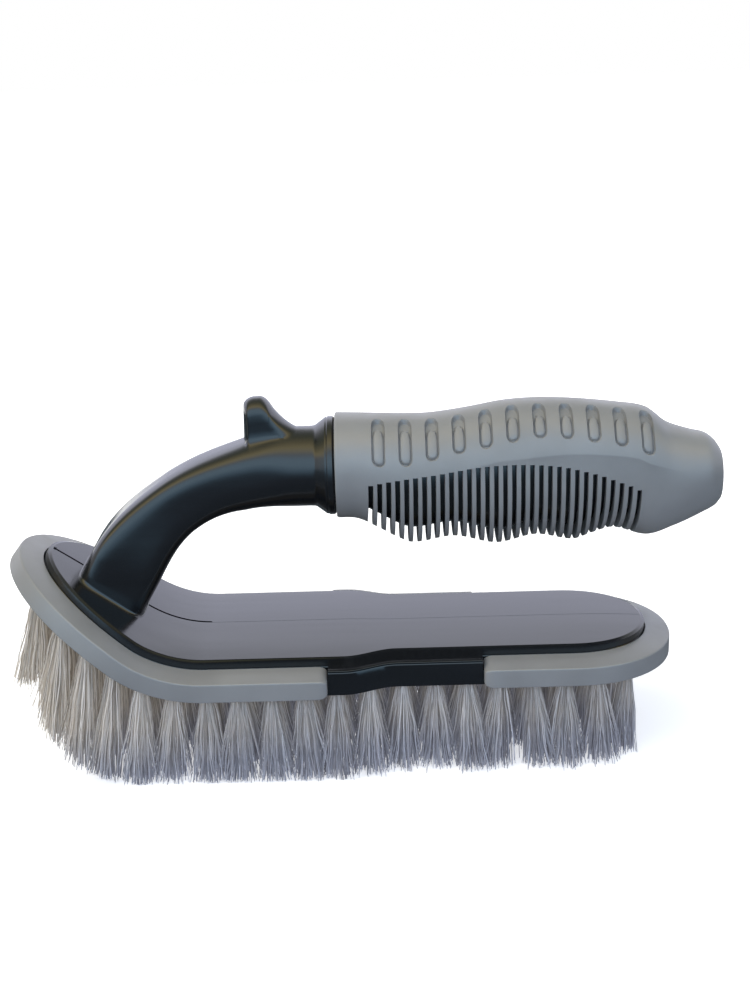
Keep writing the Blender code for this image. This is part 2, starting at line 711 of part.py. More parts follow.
def strand(bm, s, y, turn, side):
    """One bristle from inside its slice to the trimmed tip."""
    along_s, along_y = math.cos(turn), math.sin(turn)
    bend = curl_turn(s)
    root_y = y + TUFT_ROOT_RADIUS * along_y
    root = place(s + TUFT_ROOT_RADIUS * along_s, root_y, ROOT_SINK)
    middle = place(s, y, 0.0)
    x = middle.x - TOE_LEAN * middle.z * bend / CURL_ANGLE
    x += TUFT_TIP_RADIUS * along_s * math.cos(bend)
    splay = SIDE_SPLAY * (y / half_width(s, 0.0)) ** 3
    tip = Vector((x, y + splay + TUFT_TIP_RADIUS * along_y, tip_height(x)))
    rings = []
    for centre, radius in ((root, STRAND_ROOT_RADIUS), (tip, STRAND_TIP_RADIUS)):
        ring = []
        for i in range(STRAND_SIDES):
            angle = turn + 2 * math.pi * i / STRAND_SIDES
            point = centre + radius * Vector((math.cos(angle), math.sin(angle), 0.0))
            ring.append((point.x, side * point.y, point.z))
        rings.append(ring)
    loft(bm, rings)


def tuft(bm, k, y):
    """A tuft and its mirror image, or one tuft on the middle line."""
    first = math.pi / STRANDS
    if y > 0:
        first += TUFT_TWIST * math.sin(7.0 * k + 40.0 * y / COLUMN_PITCH)
    for i in range(STRANDS):
        turn = first + 2 * math.pi * i / STRANDS
        if y > 0 or math.sin(turn) > 0:
            strand(bm, row_place(k), y, turn, 1)
            strand(bm, row_place(k), y, turn, -1)


def tuft_row(k, bristle, parts, helpers):
    """A slice of the block's face with its row of tufts."""
    name = f"tuft_row_{k + 1:02d}"
    bm = bmesh.new()
    strip(bm, slice_edges(k), SLICE_INSET, 0.0, SLICE_DEPTH)
    row = finished(name, bm, bristle, parts)
    bm = bmesh.new()
    for y in tuft_columns(k):
        tuft(bm, k, y)
    combine(row, finished(f"{name}_strands", bm, None, helpers), "UNION")
    return row


def screw_row(share):
    """Number of the row with a free middle that lies nearest to a share of the block."""
    return 1 + 2 * round((share * (ROW_COUNT - 1) - 1) / 2)


def turned(bm, profile, k):
    """Solid of revolution round the block's normal at the middle of row k."""
    s = row_place(k)
    matrix = Matrix.Translation(place(s, 0.0, 0.0)) @ Matrix.Rotation(curl_turn(s), 4, "Y")
    rings = []
    for radius, height in profile:
        ring = []
        for i in range(SCREW_POINTS):
            angle = 2 * math.pi * i / SCREW_POINTS
            point = Vector((radius * math.cos(angle), radius * math.sin(angle), height))
            ring.append(matrix @ point)
        rings.append(ring)
    loft(bm, rings)


def deck_screw(number, k, steel, parts):
    """Screw from below, whose head bears on the roof of the pocket."""
    roof = POCKET_DEPTH - GAP
    tip = DECK_UNDERSIDE + SCREW_REACH
    low = roof - SCREW_HEAD_HEIGHT
    profile = (
        (0.8 * SCREW_HEAD_RADIUS, low),
        (SCREW_HEAD_RADIUS, low + 0.35 * SCREW_HEAD_HEIGHT),
        (SCREW_HEAD_RADIUS, roof),
        (SCREW_SHANK_RADIUS, roof),
        (SCREW_SHANK_RADIUS, tip - SCREW_SHANK_RADIUS / 2),
        (SCREW_SHANK_RADIUS / 2, tip),
    )
    bm = bmesh.new()
    turned(bm, profile, k)
    finished(f"deck_screw_{number}", bm, steel, parts)


def screw_cutters(number, k, helpers):
    """The shank's hole, and the room for the head in its row's slice."""
    cutters = []
    hole, room = SCREW_SHANK_RADIUS + GAP, SCREW_HEAD_RADIUS + GAP
    tip = DECK_UNDERSIDE + SCREW_REACH + GAP
    for name, radius, low, high in (
        ("screw_hole", hole, 0.0, tip),
        ("head_room", room, -SLICE_DEPTH, 2 * SLICE_DEPTH),
    ):
        bm = bmesh.new()
        turned(bm, ((radius, low), (radius, high)), k)
        cutters.append(finished(f"{name}_{number}", bm, None, helpers))
    return cutters


def build():
    for obj in list(bpy.data.objects):
        bpy.data.objects.remove(obj, do_unlink=True)
    parts = bpy.data.collections.new("tire_brush")
    helpers = bpy.data.collections.new("cutters")
    for collection in (parts, helpers):
        bpy.context.scene.collection.children.link(collection)
    black = material("black_plastic", (0.010, 0.011, 0.013), 0.22)
    grey = material("grey_rubber", (0.275, 0.280, 0.275), 0.55)
    bristle = material("bristle", (0.43, 0.39, 0.34), 0.50)
    steel = material("steel", (0.55, 0.55, 0.56), 0.35, 1.0)

    body = handle_body(black, parts, helpers)
    block = brush_block(black, parts, helpers)
    for name, end, toward in (("front", FRONT_BUMPER_END, -1), ("rear", REAR_BUMPER_END, 1)):
        bumper(f"{name}_bumper", end, toward, grey, parts)
    grip_sleeve(grey, parts, helpers)
    rows = [tuft_row(k, bristle, parts, helpers) for k in range(ROW_COUNT)]
    for number, share in enumerate(SCREW_SPOTS, start=1):
        k = screw_row(share)
        deck_screw(number, k, steel, parts)
        hole, room = screw_cutters(number, k, helpers)
        combine(body, hole, "DIFFERENCE")
        combine(block, hole, "DIFFERENCE")
        combine(rows[k], room, "DIFFERENCE")


build()
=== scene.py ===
import random
from math import asin, copysign, cos, exp, hypot, pi, radians, sin, sqrt

import bmesh
import bpy
from mathutils import Matrix, Vector

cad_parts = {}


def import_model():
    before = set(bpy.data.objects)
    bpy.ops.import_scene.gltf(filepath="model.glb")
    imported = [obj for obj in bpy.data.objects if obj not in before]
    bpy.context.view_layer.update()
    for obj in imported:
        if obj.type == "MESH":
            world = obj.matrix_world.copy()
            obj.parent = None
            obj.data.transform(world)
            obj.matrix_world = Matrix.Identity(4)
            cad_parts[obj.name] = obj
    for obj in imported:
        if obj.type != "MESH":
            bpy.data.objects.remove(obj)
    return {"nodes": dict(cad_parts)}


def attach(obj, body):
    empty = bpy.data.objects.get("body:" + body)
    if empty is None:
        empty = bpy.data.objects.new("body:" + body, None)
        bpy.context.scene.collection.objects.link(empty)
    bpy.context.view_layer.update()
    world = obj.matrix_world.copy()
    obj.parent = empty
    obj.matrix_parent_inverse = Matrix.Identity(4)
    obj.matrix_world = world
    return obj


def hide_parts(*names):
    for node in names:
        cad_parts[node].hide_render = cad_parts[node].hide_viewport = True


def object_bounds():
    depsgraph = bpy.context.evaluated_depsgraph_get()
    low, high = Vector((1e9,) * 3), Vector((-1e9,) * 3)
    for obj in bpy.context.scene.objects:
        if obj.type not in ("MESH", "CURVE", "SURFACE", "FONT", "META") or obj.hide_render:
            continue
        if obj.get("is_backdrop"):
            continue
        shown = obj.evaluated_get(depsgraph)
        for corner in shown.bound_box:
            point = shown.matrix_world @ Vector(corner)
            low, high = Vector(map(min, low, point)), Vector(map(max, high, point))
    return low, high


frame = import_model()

CAD_LOW, CAD_HIGH = (Vector(corner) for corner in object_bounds())
GAP = 0.0003  # between neighbouring solids
SHARP = 32.0  # degrees from which an edge isn't shaded round
SOFT_SHARP = 40.0  # the same on soft pieces
FIBRE_SHARP = 60.0  # and on bristles

# Plan of the block, measured to the outside of the bumpers
TOE_TIP = -0.1420
HEEL_TIP = 0.1045
TOE_HALF_WIDTH = 0.0411
HEEL_HALF_WIDTH = 0.0354
NOSE_LENGTH = 0.0570
HEEL_LENGTH = 0.0374
NOSE_POWER = 2.0
HEEL_POWER = 2.1
WAIST_START = -0.0119
WAIST_END = 0.0057
NOSE_STEPS = 44
BODY_STEPS = 90
HEEL_STEPS = 40

# Curl of the toe
CURL_START = -0.0595
CURL_RADIUS = 0.0526
CURL_ANGLE = radians(37.2)

# Block and deck: insets from the outside of the bumpers, and heights
WALL_INSET = 0.0033
BLOCK_HEIGHT = 0.0084
BLOCK_ROUND = 0.0005
FLANGE_EDGE = 0.0004
SHOULDER_INSET = 0.0050
SHOULDER_RISE = 0.0007
DECK_INSET = 0.0103
DECK_RISE = 0.0027
DECK_ROUND = 0.0008
DECK_CROWN = 0.0013
SEAM_HALF_WIDTH = 0.00060  # of the parting line
SEAM_EDGE = 0.00003  # slope of the groove's walls
SEAM_DEPTH = 0.0007
SEAM_RIDGE = 0.00005
SEAM_END = -0.0606  # s where the groove behind the neck turns into a fine ridge
# Columns of the deck's strips that stand for the upper and lower edge of the groove
SEAM_COLUMNS = {0.04: SEAM_HALF_WIDTH, 0.03: SEAM_HALF_WIDTH - SEAM_EDGE}

# Bumpers
BUMPER_CREASE = 0.0067
BUMPER_TOP = 0.0086
BUMPER_REACH = 0.0087
BUMPER_FLANGE = 0.0030
BUMPER_END_ROUND = 0.0034
FRONT_BUMPER_END = -0.0177
REAR_BUMPER_END = 0.0358

# Tufts
BRISTLE_LENGTH = 0.0310
ROW_COUNT = sum(name.startswith("tuft_row_") for name in frame["nodes"])
ROW_PITCH = 0.0113
HEEL_ROW_INSET = 0.0175
COLUMN_PITCH = 0.0126
TUFT_INSET = 0.0095
TUFT_HOLE_RADIUS = 0.0017
TUFT_HOLE_DEPTH = 0.0016
TUFT_HOLE_SIDES = 14
TUFT_FILL = 0.85  # share of its hole that a tuft's roots fill
SIDE_SPLAY = 0.0108
TOE_LEAN = 0.10
TRIM_RADIUS = 0.0400
TRIM_START = -0.0830
BRISTLES = 210  # in each tuft
BRISTLE_RADIUS = 0.00020
BRISTLE_TAPER = 0.3  # share of its thickness that a bristle loses up to its tip
CRIMP = 0.00030  # how far a bristle waves to each side
CRIMP_TURN = 10.0  # radians of that wave along a bristle
SAG = 0.0006  # how far its middle is off a straight line
TIP_STRAY = 0.0004  # how far its tip strays
TUFT_SPREAD = 0.0092  # radius of a tuft at its tips
CLUMPS = 13  # in each tuft
CLUMPING = 0.34  # how far the tips of a clump's bristles draw together
UNEVEN_TRIM = 0.0016
CLUMP_TRIM = 0.0026  # how much shorter some clumps are
TUFT_LEAN = 0.0011  # how far a tuft leans
TIP_LIFT = 0.0001  # no tip is nearer to the ground
TIP_LIMIT = 0.0403  # no tip reaches further out from the middle
LIMIT_SPREAD = 0.0006  # tips past that limit end up this far inside it at most
HEEL_LIMIT = 0.0942  # x that no tip goes past at the heel
TOE_LIMIT = -0.1242  # and at the toe
LIMIT_FOLD = 0.35  # how far back a tip past a limit is folded

# Screws that hold the block to the deck
SCREW_ROWS = (1, 7, 11, 17)
SCREW_ROOM = 0.0031
SCREW_ROOM_DEPTH = 0.0041
SCREW_ROOM_SIDES = 32

# Collar and throat
HANDLE_HEIGHT = 0.0706
COLLAR_FACE = -0.0135
COLLAR_LENGTH = 0.0069
COLLAR_RADIUS = 0.0172
COLLAR_ROUND = 0.0005
COLLAR_CONE = 0.0039  # length of the cone in front of the rim
COLLAR_GROOVE = 0.0004  # depth of the groove between them
THROAT_RADIUS = 0.0140

# Neck
NECK_TOP = COLLAR_FACE - 0.0175
NECK_RADIUS = 0.0660
NECK_LEAN = radians(61.0)
NECK_HALF_HEIGHT = 0.0104
NECK_HALF_WIDTH = 0.0122
NECK_SQUARENESS = 5.6
SHAFT_SQUARENESS = 2.9  # the same under the horn
NECK_DIP = 0.0012
COLUMN_HALF_HEIGHT = 0.0130
COLUMN_HALF_WIDTH = 0.0145
FOOT_FLARE = 0.0010
FOOT_SIDE_FLARE = 0.0012
FOOT_HEIGHT = 0.0020
FOOT_TURN = radians(80.0)  # how far the fillet turns before it meets the deck
FOOT_STEPS = 15
NECK_STEPS = 44
NECK_POINTS = 112
POINT_DRAW = 0.32  # how far the points round the neck draw together at its top and bottom

# Thumb horn
HORN_FACE = COLLAR_FACE - 0.0310
HORN_LENGTH = 0.0180
HORN_HEIGHT = 0.0253
HORN_CREST = 0.0044
HORN_ROUND = 0.0030
HORN_HALF_WIDTH = 0.0066
HORN_NOSE = 0.0024  # the horn's front is rounded over this length
HORN_ARCH = 0.0048  # its sides are upright up to this far below its top
HORN_FILLET = 0.0050  # blends the horn's sides into the shaft
HORN_STEPS = 60
HORN_CROWDING = 1.7  # how much closer together the horn's first rings are
# Back of the horn: distance from the upright face, and height over the handle's axis
HORN_BACK_LINE = (
    (0.0044, 0.0253), (0.0065, 0.0252), (0.0085, 0.0237), (0.0105, 0.0207), (0.0125, 0.0183),
    (0.0145, 0.0164), (0.0165, 0.0149), (0.0180, 0.0140),
)

# Grip sleeve and the core in it
GRIP_LENGTH = 0.1334
GRIP_HALF_WIDTH = 0.0184
GRIP_SQUARENESS = 2.15
GRIP_WALL = 0.0036
RIB_DEPTH = 0.0050
TAIL_WALL = 0.0174
TAIL_STEPS = 34
BORE_STEPS = 30
CORE_STEPS = 40
CORE_POINTS = 48
SLEEVE_ROUND = 0.0003  # of the sleeve's front edge
SLOT_PITCH = 0.00304
SLOT_WIDTH = 0.00150
SLOT_START = 0.0120
SLOT_STOP = 0.0300
SLOT_ROUND = 0.00014  # how much wider a slot gets on each side at the surface
SLOT_FLARE = 0.00012  # the same at the ribs' tips
SLOT_STEPS = 64
# Funnel of a slot: depth under the surface, and share of its rounding there
SLOT_FUNNEL = ((-0.003, 2.2), (-0.0002, 1.4), (0.0004, 0.5), (0.0011, 0.0), (0.009, 0.0))
PAD_PITCH = 0.00913
PAD_START = 0.0149
PAD_STOP = 0.0270
PAD_WIDTH = 0.0047
PAD_GROOVE = 0.0005  # width of the groove round each pill
PAD_DEPTH = 0.0011
PAD_HOOD = 0.0042  # the pill ends this much lower than its recess
PAD_HOOD_DEPTH = 0.0017
PAD_ARCH = 2.1  # how much longer than round the upper ends are
PAD_TOP = radians(78.0)
PAD_TURN_RADIUS = 0.0195  # turns degrees round the sleeve into a distance
PAD_EDGE = 0.0002  # least depth of a pill under the sleeve's surface
PAD_DOME = 0.0003  # how much deeper a pill's edge is than its middle
PANEL_DEPTH = 0.0012  # of the recessed panel that the slots lie in
PANEL_SLOPE = 0.0045  # how far below the crease it gets deep
PANEL_FADE = 0.020  # and how far below it runs out again

# Lines of the grip: share of its length, and height over the handle axis
GRIP_TOP_LINE = (
    (0.000, 0.0183), (0.170, 0.0175), (0.247, 0.0175), (0.337, 0.0190), (0.451, 0.0215),
    (0.579, 0.0217), (0.736, 0.0195), (0.810, 0.0175), (0.862, 0.0122), (0.924, 0.0092),
    (0.963, 0.0079), (0.986, 0.0056), (1.000, 0.0030),
)
GRIP_BOTTOM_LINE = (
    (0.000, -0.0181), (0.054, -0.0186), (0.114, -0.0228), (0.150, -0.0256), (0.196, -0.0281),
    (0.305, -0.0263), (0.416, -0.0294), (0.519, -0.0267), (0.616, -0.0288), (0.665, -0.0267),
    (0.721, -0.0248), (0.811, -0.0278), (0.879, -0.0247), (0.956, -0.0199), (0.988, -0.0178),
    (1.000, -0.0158),
)
SLOT_TOP_LINE = (
    (0.000, -0.0033), (0.228, -0.0003), (0.364, 0.0023), (0.477, 0.0029), (0.567, 0.0020),
    (0.640, -0.0002), (0.705, -0.0027), (0.773, -0.0064), (1.000, -0.0240),
)
PANEL_LINE = (
    (0.200, -0.0030), (0.390, 0.0040), (0.470, 0.0053), (0.564, 0.0064), (0.657, 0.0062),
    (0.733, 0.0052), (0.771, 0.0042), (0.802, 0.0022), (0.880, -0.0010),
)
# Share of the way from the first slot to the last, and how far a slot's bottom is swept forward
SLOT_SWEEP_LINE = (
    (0.000, 0.0009), (0.270, 0.0000), (0.620, -0.0004), (0.800, 0.0001), (1.000, 0.0012),
)
# Share of the grip's length, and what is added to its half width
GRIP_SIDE_LINE = (
    (0.000, 0.0), (0.450, 0.0002), (0.780, -0.0004), (0.885, -0.0022), (0.960, -0.0050),
    (1.000, -0.0092),
)
# The same, and the lower end of the pads in degrees round the sleeve from its side
PAD_BOTTOM_LINE = (
    (0.110, 17.0), (0.247, 25.5), (0.388, 31.5), (0.560, 35.0), (0.660, 32.0), (0.801, 24.0),
)

NEAR = 1e-6  # keeps a fillet's size above zero
GRIP_START = COLLAR_FACE + GAP
CORE_LENGTH = GRIP_LENGTH - TAIL_WALL
DECK_UNDERSIDE = BLOCK_HEIGHT + GAP
DECK_EDGE = DECK_UNDERSIDE + DECK_RISE
SEAT_INSET = WALL_INSET - GAP
SEAT_HEIGHT = BUMPER_TOP - BUMPER_FLANGE
SLOT_COUNT = 1 + int((GRIP_LENGTH - SLOT_START - SLOT_STOP) / SLOT_PITCH)
PAD_COUNT = 1 + int((GRIP_LENGTH - PAD_START - PAD_STOP) / PAD_PITCH)

# Studio
FLOOR_SHOWN = 0.86  # how pale the floor looks
FLOOR_LIFT = 0.58  # what is added to it near the brush, so that it turns white but for the shadow
FLOOR_GLOW = (0.56, 0.60, 0.78)  # light that the floor under the brush sends up into the bristles
FLOOR_LIT = (0.34, 0.35, 0.37)  # what the floor sends back of the light on it
FLOOR_FADE = (0.12, 0.40)  # distances from the middle between which the shadow's room ends
GLOW_FADE = (0.05, 0.11)  # the same for the light under the brush
BRISTLE_GLOW = 0.17  # stands for the light that goes from fibre to fibre
THROUGH_SHARE = 0.45  # how much light goes through a bristle
# Painted shade: from and to which z and x the bristles turn darker and cooler, towards their tips and
# the heel, and the shares at which they do
COOL_SHADE_LOW = (0.020, 0.002, 0.0, 0.9)
COOL_SHADE_BACK = (-0.115, -0.030, 0.0, 0.46)
AMBIENT = (0.42, 0.45, 0.51)
WHITE = (1.0, 1.0, 1.0, 1.0)
WALL_TURN = 185.0  # degrees that the wall goes round the brush from the front horizon
WALL_RADIUS = 1.6
WALL_ENDS = (-4.0, 4.0)
WALL_STEPS = 60
# Lamps: place, point that they face, size, power and colour
LAMPS = {
    "overhead": ((-0.75, -0.25, 1.30), (0.0, 0.0, 0.0), (1.3, 1.3), 11.5, (1.03, 0.90, 0.62)),
    "front_window": ((0.0, -1.28, 0.80), (0.0, 0.0, 0.06), (2.4, 0.5), 10.8, (0.70, 0.91, 1.25)),
}

# Camera: matched to the outlines of the bumpers, the deck and the grip
CAMERA_PITCH = radians(18.0)
CAMERA_ROLL = radians(-1.68)
CAMERA_YAW = radians(0.40)
CAMERA_DISTANCE = 0.520
CAMERA_LENS = 53.18
CAMERA_AIM = Vector((0.0, 0.0, 0.05731))  # from the middle of the block's datum line


def clamp(value, low=0.0, high=1.0):
    return min(max(value, low), high)


def ease(value):
    """Goes smoothly from 0 to 1 while value does."""
    value = clamp(value)
    return value * value * (3 - 2 * value)


def mix(a, b, share):
    return a + (b - a) * share


def along(line, x):
    """Height at x of a smooth curve through the points of line."""
    if x <= line[0][0]:
        return line[0][1]
    if x >= line[-1][0]:
        return line[-1][1]
    i = max(k for k in range(len(line) - 1) if line[k][0] <= x)
    slopes = []
    for k in (i, i + 1):
        before, after = line[max(k - 1, 0)], line[min(k + 1, len(line) - 1)]
        slopes.append((after[1] - before[1]) / (after[0] - before[0]))
    (x0, y0), (x1, y1) = line[i], line[i + 1]
    run = x1 - x0
    t = (x - x0) / run
    return (
        y0 * (1 - t) ** 2 * (1 + 2 * t)
        + y1 * t * t * (3 - 2 * t)
        + run * t * (1 - t) * (slopes[0] * (1 - t) - slopes[1] * t)
    )


def curl_turn(s):
    """How far the datum line has turned up at s."""
    return clamp((CURL_START - s) / CURL_RADIUS, 0.0, CURL_ANGLE)


def unshifted(s, y, n):
    """Point with the datum line of the flat part on z = 0."""
    turn = curl_turn(s)
    straight = max(CURL_START - s - CURL_RADIUS * CURL_ANGLE, 0.0)
    x = max(s, CURL_START) - (CURL_RADIUS - n) * sin(turn) - straight * cos(turn)
    z = CURL_RADIUS - (CURL_RADIUS - n) * cos(turn) + straight * sin(turn)
    return Vector((x, y, z))


SHIFT = Vector((CAD_HIGH.x - GRIP_START - GRIP_LENGTH, 0.0, BRISTLE_LENGTH))


def place(s, y, n):
    """Model coordinates of a point given in block coordinates."""
    return unshifted(s, y, n) + SHIFT


def half_width(s, inset):
    """Half width of the block's plan at s, moved inwards by inset."""
    share = ease((s - WAIST_START) / (WAIST_END - WAIST_START))
    width = mix(TOE_HALF_WIDTH, HEEL_HALF_WIDTH, share) - inset
    toe = clamp(1 - (s - TOE_TIP - inset) / (NOSE_LENGTH - inset))
    heel = clamp(1 - (HEEL_TIP - inset - s) / (HEEL_LENGTH - inset))
    width *= (1 - toe**NOSE_POWER) ** (1 / NOSE_POWER)
    return width * (1 - heel**HEEL_POWER) ** (1 / HEEL_POWER)


def rim_point(station, inset):
    """(s, half width) on the plan. Station runs 0 to 1 round the nose, 2 to 3 round the heel."""
    if station <= 1:
        s = TOE_TIP + inset + (NOSE_LENGTH - inset) * (1 - cos(station * pi / 2))
    elif station < 2:
        s = mix(TOE_TIP + NOSE_LENGTH, HEEL_TIP - HEEL_LENGTH, station - 1)
    else:
        s = HEEL_TIP - HEEL_LENGTH + (HEEL_LENGTH - inset) * sin((station - 2) * pi / 2)
    return s, half_width(s, inset)


def body_station(s):
    """Station of a point between the nose and the heel."""
    start, end = TOE_TIP + NOSE_LENGTH, HEEL_TIP - HEEL_LENGTH
    return 1 + (s - start) / (end - start)


def rim_stations():
    """Stations all along the block, close together where it turns."""
    nose = [k / NOSE_STEPS for k in range(NOSE_STEPS + 1)]
    body = [1 + k / BODY_STEPS for k in range(1, BODY_STEPS)]
    heel = [2 + k / HEEL_STEPS for k in range(HEEL_STEPS + 1)]
    ends = [body_station(SEAM_END), body_station(SEAM_END + 0.0002)]
    for s, inside in ((FRONT_BUMPER_END, -1), (REAR_BUMPER_END, 1)):
        ends += [body_station(s - inside * GAP), body_station(s - inside * (GAP - 0.00002))]
    return sorted(nose + body + heel + ends)


def under_bumper(station):
    """Whether a bumper lies over the block at a station."""
    front = body_station(FRONT_BUMPER_END + GAP - 0.00001)
    rear = body_station(REAR_BUMPER_END - GAP + 0.00001)
    return station < front or station > rear


def round_angles(count):
    """Angles all the way round, evenly spaced."""
    return [2 * pi * i / count for i in range(count)]


def eased_corners(points, radii, steps=5):
    """Outline through points, each corner rounded by a smooth curve of its own reach."""
    found = []
    for i, corner in enumerate(points):
        if radii[i] == 0:
            found.append(corner)
            continue
        here = Vector(corner)
        before, after = Vector(points[i - 1]), Vector(points[(i + 1) % len(points)])
        start = here + (before - here).normalized() * radii[i]
        end = here + (after - here).normalized() * radii[i]
        for k in range(steps + 1):
            t = k / steps
            found.append(tuple(start * (1 - t) ** 2 + here * 2 * t * (1 - t) + end * t * t))
    return found


def skin(bm, rings, capped=True):
    """Joins closed rings of vertices with faces, and closes both ends."""
    for low, high in zip(rings, rings[1:]):
        for i in range(len(low)):
            j = (i + 1) % len(low)
            bm.faces.new((low[i], low[j], high[j], high[i]))
    if capped:
        bm.faces.new(rings[0])
        bm.faces.new(rings[-1])


def loft(bm, rings):
    """Closed skin through rings of points."""
    skin(bm, [[bm.verts.new(point) for point in ring] for ring in rings])


def added(name, data):
    """New object of the scene."""
    obj = bpy.data.objects.new(name, data)
    bpy.context.scene.collection.objects.link(obj)
    return obj


def meshed(name, bm):
    """Turns a bmesh into a smooth object."""
    mesh = bpy.data.meshes.new(name)
    bm.to_mesh(mesh)
    bm.free()
    mesh.shade_smooth()
    return added(name, mesh)


def finished(name, bm, sharp=SHARP):
    """Turns a closed bmesh into an object with its faces pointing out."""
    bmesh.ops.recalc_face_normals(bm, faces=bm.faces)
    if bm.calc_volume(signed=True) < 0:
        bmesh.ops.reverse_faces(bm, faces=bm.faces)
    obj = meshed(name, bm)
    obj.data.set_sharp_from_angle(angle=radians(sharp))
    return obj


def polar(radius, angle, rise=0.0):
    """Point at a radius and an angle, lifted by rise."""
    return Vector((radius * cos(angle), radius * sin(angle), rise))


def combine(obj, other, operation):
    """Applies an EXACT Boolean with other, and removes other."""
    modifier = obj.modifiers.new("combine", "BOOLEAN")
    modifier.operation = operation
    modifier.object = other
    modifier.solver = "EXACT"
    bpy.context.view_layer.update()
    result = bpy.data.meshes.new_from_object(obj.evaluated_get(bpy.context.evaluated_depsgraph_get()))
    obj.modifiers.clear()
    obj.data = result
    result.shade_smooth()
    result.set_sharp_from_angle(angle=radians(SHARP))
    bpy.data.objects.remove(other, do_unlink=True)


def paint(obj, coat):
    """Gives an object one material."""
    obj.data.materials.clear()
    obj.data.materials.append(coat)


def dress(obj, coat, slot, *nodes):
    """Gives a piece its material, hangs it on the root body, and hides the solids that it stands for.
    Its slot is not used.
    """
    paint(obj, coat)
    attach(obj, "root")
    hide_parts(*nodes)


def plate(profile_at, crown_at, columns):
    """Solid with the block's plan. profile_at gives (inset, n) pairs from the underside up."""
    bm = bmesh.new()
    stations = rim_stations()
    profiles = [profile_at(station) for station in stations]
    loops = []
    for level in zip(*profiles):
        points = [(*rim_point(station, inset), n) for station, (inset, n) in zip(stations, level)]
        left = [bm.verts.new(place(s, w, n)) for s, w, n in points[1:-1]]
        right = [bm.verts.new(place(s, -w, n)) for s, w, n in points[1:-1]]
        toe, heel = (bm.verts.new(place(s, 0.0, n)) for s, _, n in (points[0], points[-1]))
        loops.append([toe, *left, heel, *reversed(right)])
    skin(bm, loops, capped=False)
    cover(bm, loops[0], stations, [p[0] for p in profiles], lambda s, y: 0.0, (1.0, -1.0))
    cover(bm, loops[-1], stations, [p[-1] for p in profiles], crown_at, columns)
    return bm


def cover(bm, loop, stations, level, rise_at, columns):
    """Closes one face of a plate with strips that meet at shares of its half width."""
    rows = []
    for i in range(1, len(stations) - 1):
        inset, n = level[i]
        s, w = rim_point(stations[i], inset)
        row = [loop[i]]
        for column in columns[1:-1]:
            y = copysign(SEAM_COLUMNS.get(abs(column), w * abs(column)), column)
            row.append(bm.verts.new(place(s, y, n + rise_at(s, y))))
        rows.append(row + [loop[-i]])
    for first, second in zip(rows, rows[1:]):
        for i in range(len(columns) - 1):
            bm.faces.new((first[i], second[i], second[i + 1], first[i + 1]))
    for tip, row in ((loop[0], rows[0]), (loop[len(stations) - 1], rows[-1])):
        for i in range(len(columns) - 1):
            bm.faces.new((tip, row[i], row[i + 1]))


def deck_profile(station):
    """Edge of the deck: flange, shoulder, sloping wall and rounded rim."""
    corners = (
        (WALL_INSET, DECK_UNDERSIDE),
        (WALL_INSET, DECK_UNDERSIDE + FLANGE_EDGE),
        (SHOULDER_INSET, DECK_UNDERSIDE + SHOULDER_RISE),
        (DECK_INSET - DECK_ROUND, DECK_EDGE - DECK_ROUND / 2),
        (DECK_INSET, DECK_EDGE),
    )
    outline = eased_corners(corners, (0, 0.00018, 0.0005, 0.0005, 0), 4)
    least = BUMPER_REACH + GAP if under_bumper(station) else 0.0
    return [(max(inset, least), n) for inset, n in outline]


def deck_crown(s, y):
    """How far the deck rises over the level of its edge."""
    w = half_width(s, DECK_INSET)
    return DECK_CROWN * (w * w - y * y) / (TOE_HALF_WIDTH - DECK_INSET) ** 2


def deck_rise(s, y):
    """Crown of the deck, with the parting line along its middle."""
    rise = deck_crown(s, y)
    if abs(y) < SEAM_HALF_WIDTH - SEAM_EDGE / 2:
        rise += SEAM_RIDGE if s > SEAM_END + 0.0001 else -SEAM_DEPTH
    return rise


def deck_columns():
    """Shares of the half width at which the deck's strips are joined."""
    half = [1.0] + [cos(pi / 2 * k / 14) for k in range(1, 13)] + [0.1, *SEAM_COLUMNS]
    return half + [-share for share in reversed(half)]


def rounded_ring(x, z, tilt, radius_at, *values):
    """Ring of points round (x, z), square to a path that climbs at tilt, by polar radius."""
    lean = Vector((-sin(tilt), 0.0, cos(tilt)))
    ring = []
    for angle in ring_angles():
        radius = radius_at(angle, *values)
        across, up = radius * cos(angle), radius * sin(angle)
        ring.append(Vector((x, across, z)) + lean * up + SHIFT)
    return ring


def ring_angles():
    """Angles round a section of the neck, closer together at its top and bottom."""
    return [turn + POINT_DRAW * sin(2 * turn) for turn in round_angles(NECK_POINTS)]


def squared(angle, wide, upper, lower, squareness):
    """Polar radius of a rounded section with unlike upper and lower halves."""
    up = upper if sin(angle) > 0 else lower
    across = abs(cos(angle) / wide) ** squareness
    return (across + abs(sin(angle) / up) ** squareness) ** (-1 / squareness)


def neck_path(heading):
    """(x, z) of the neck's axis where it climbs at heading."""
    x = NECK_TOP - NECK_RADIUS * sin(heading)
    return x, HANDLE_HEIGHT - NECK_RADIUS * (1 - cos(heading))


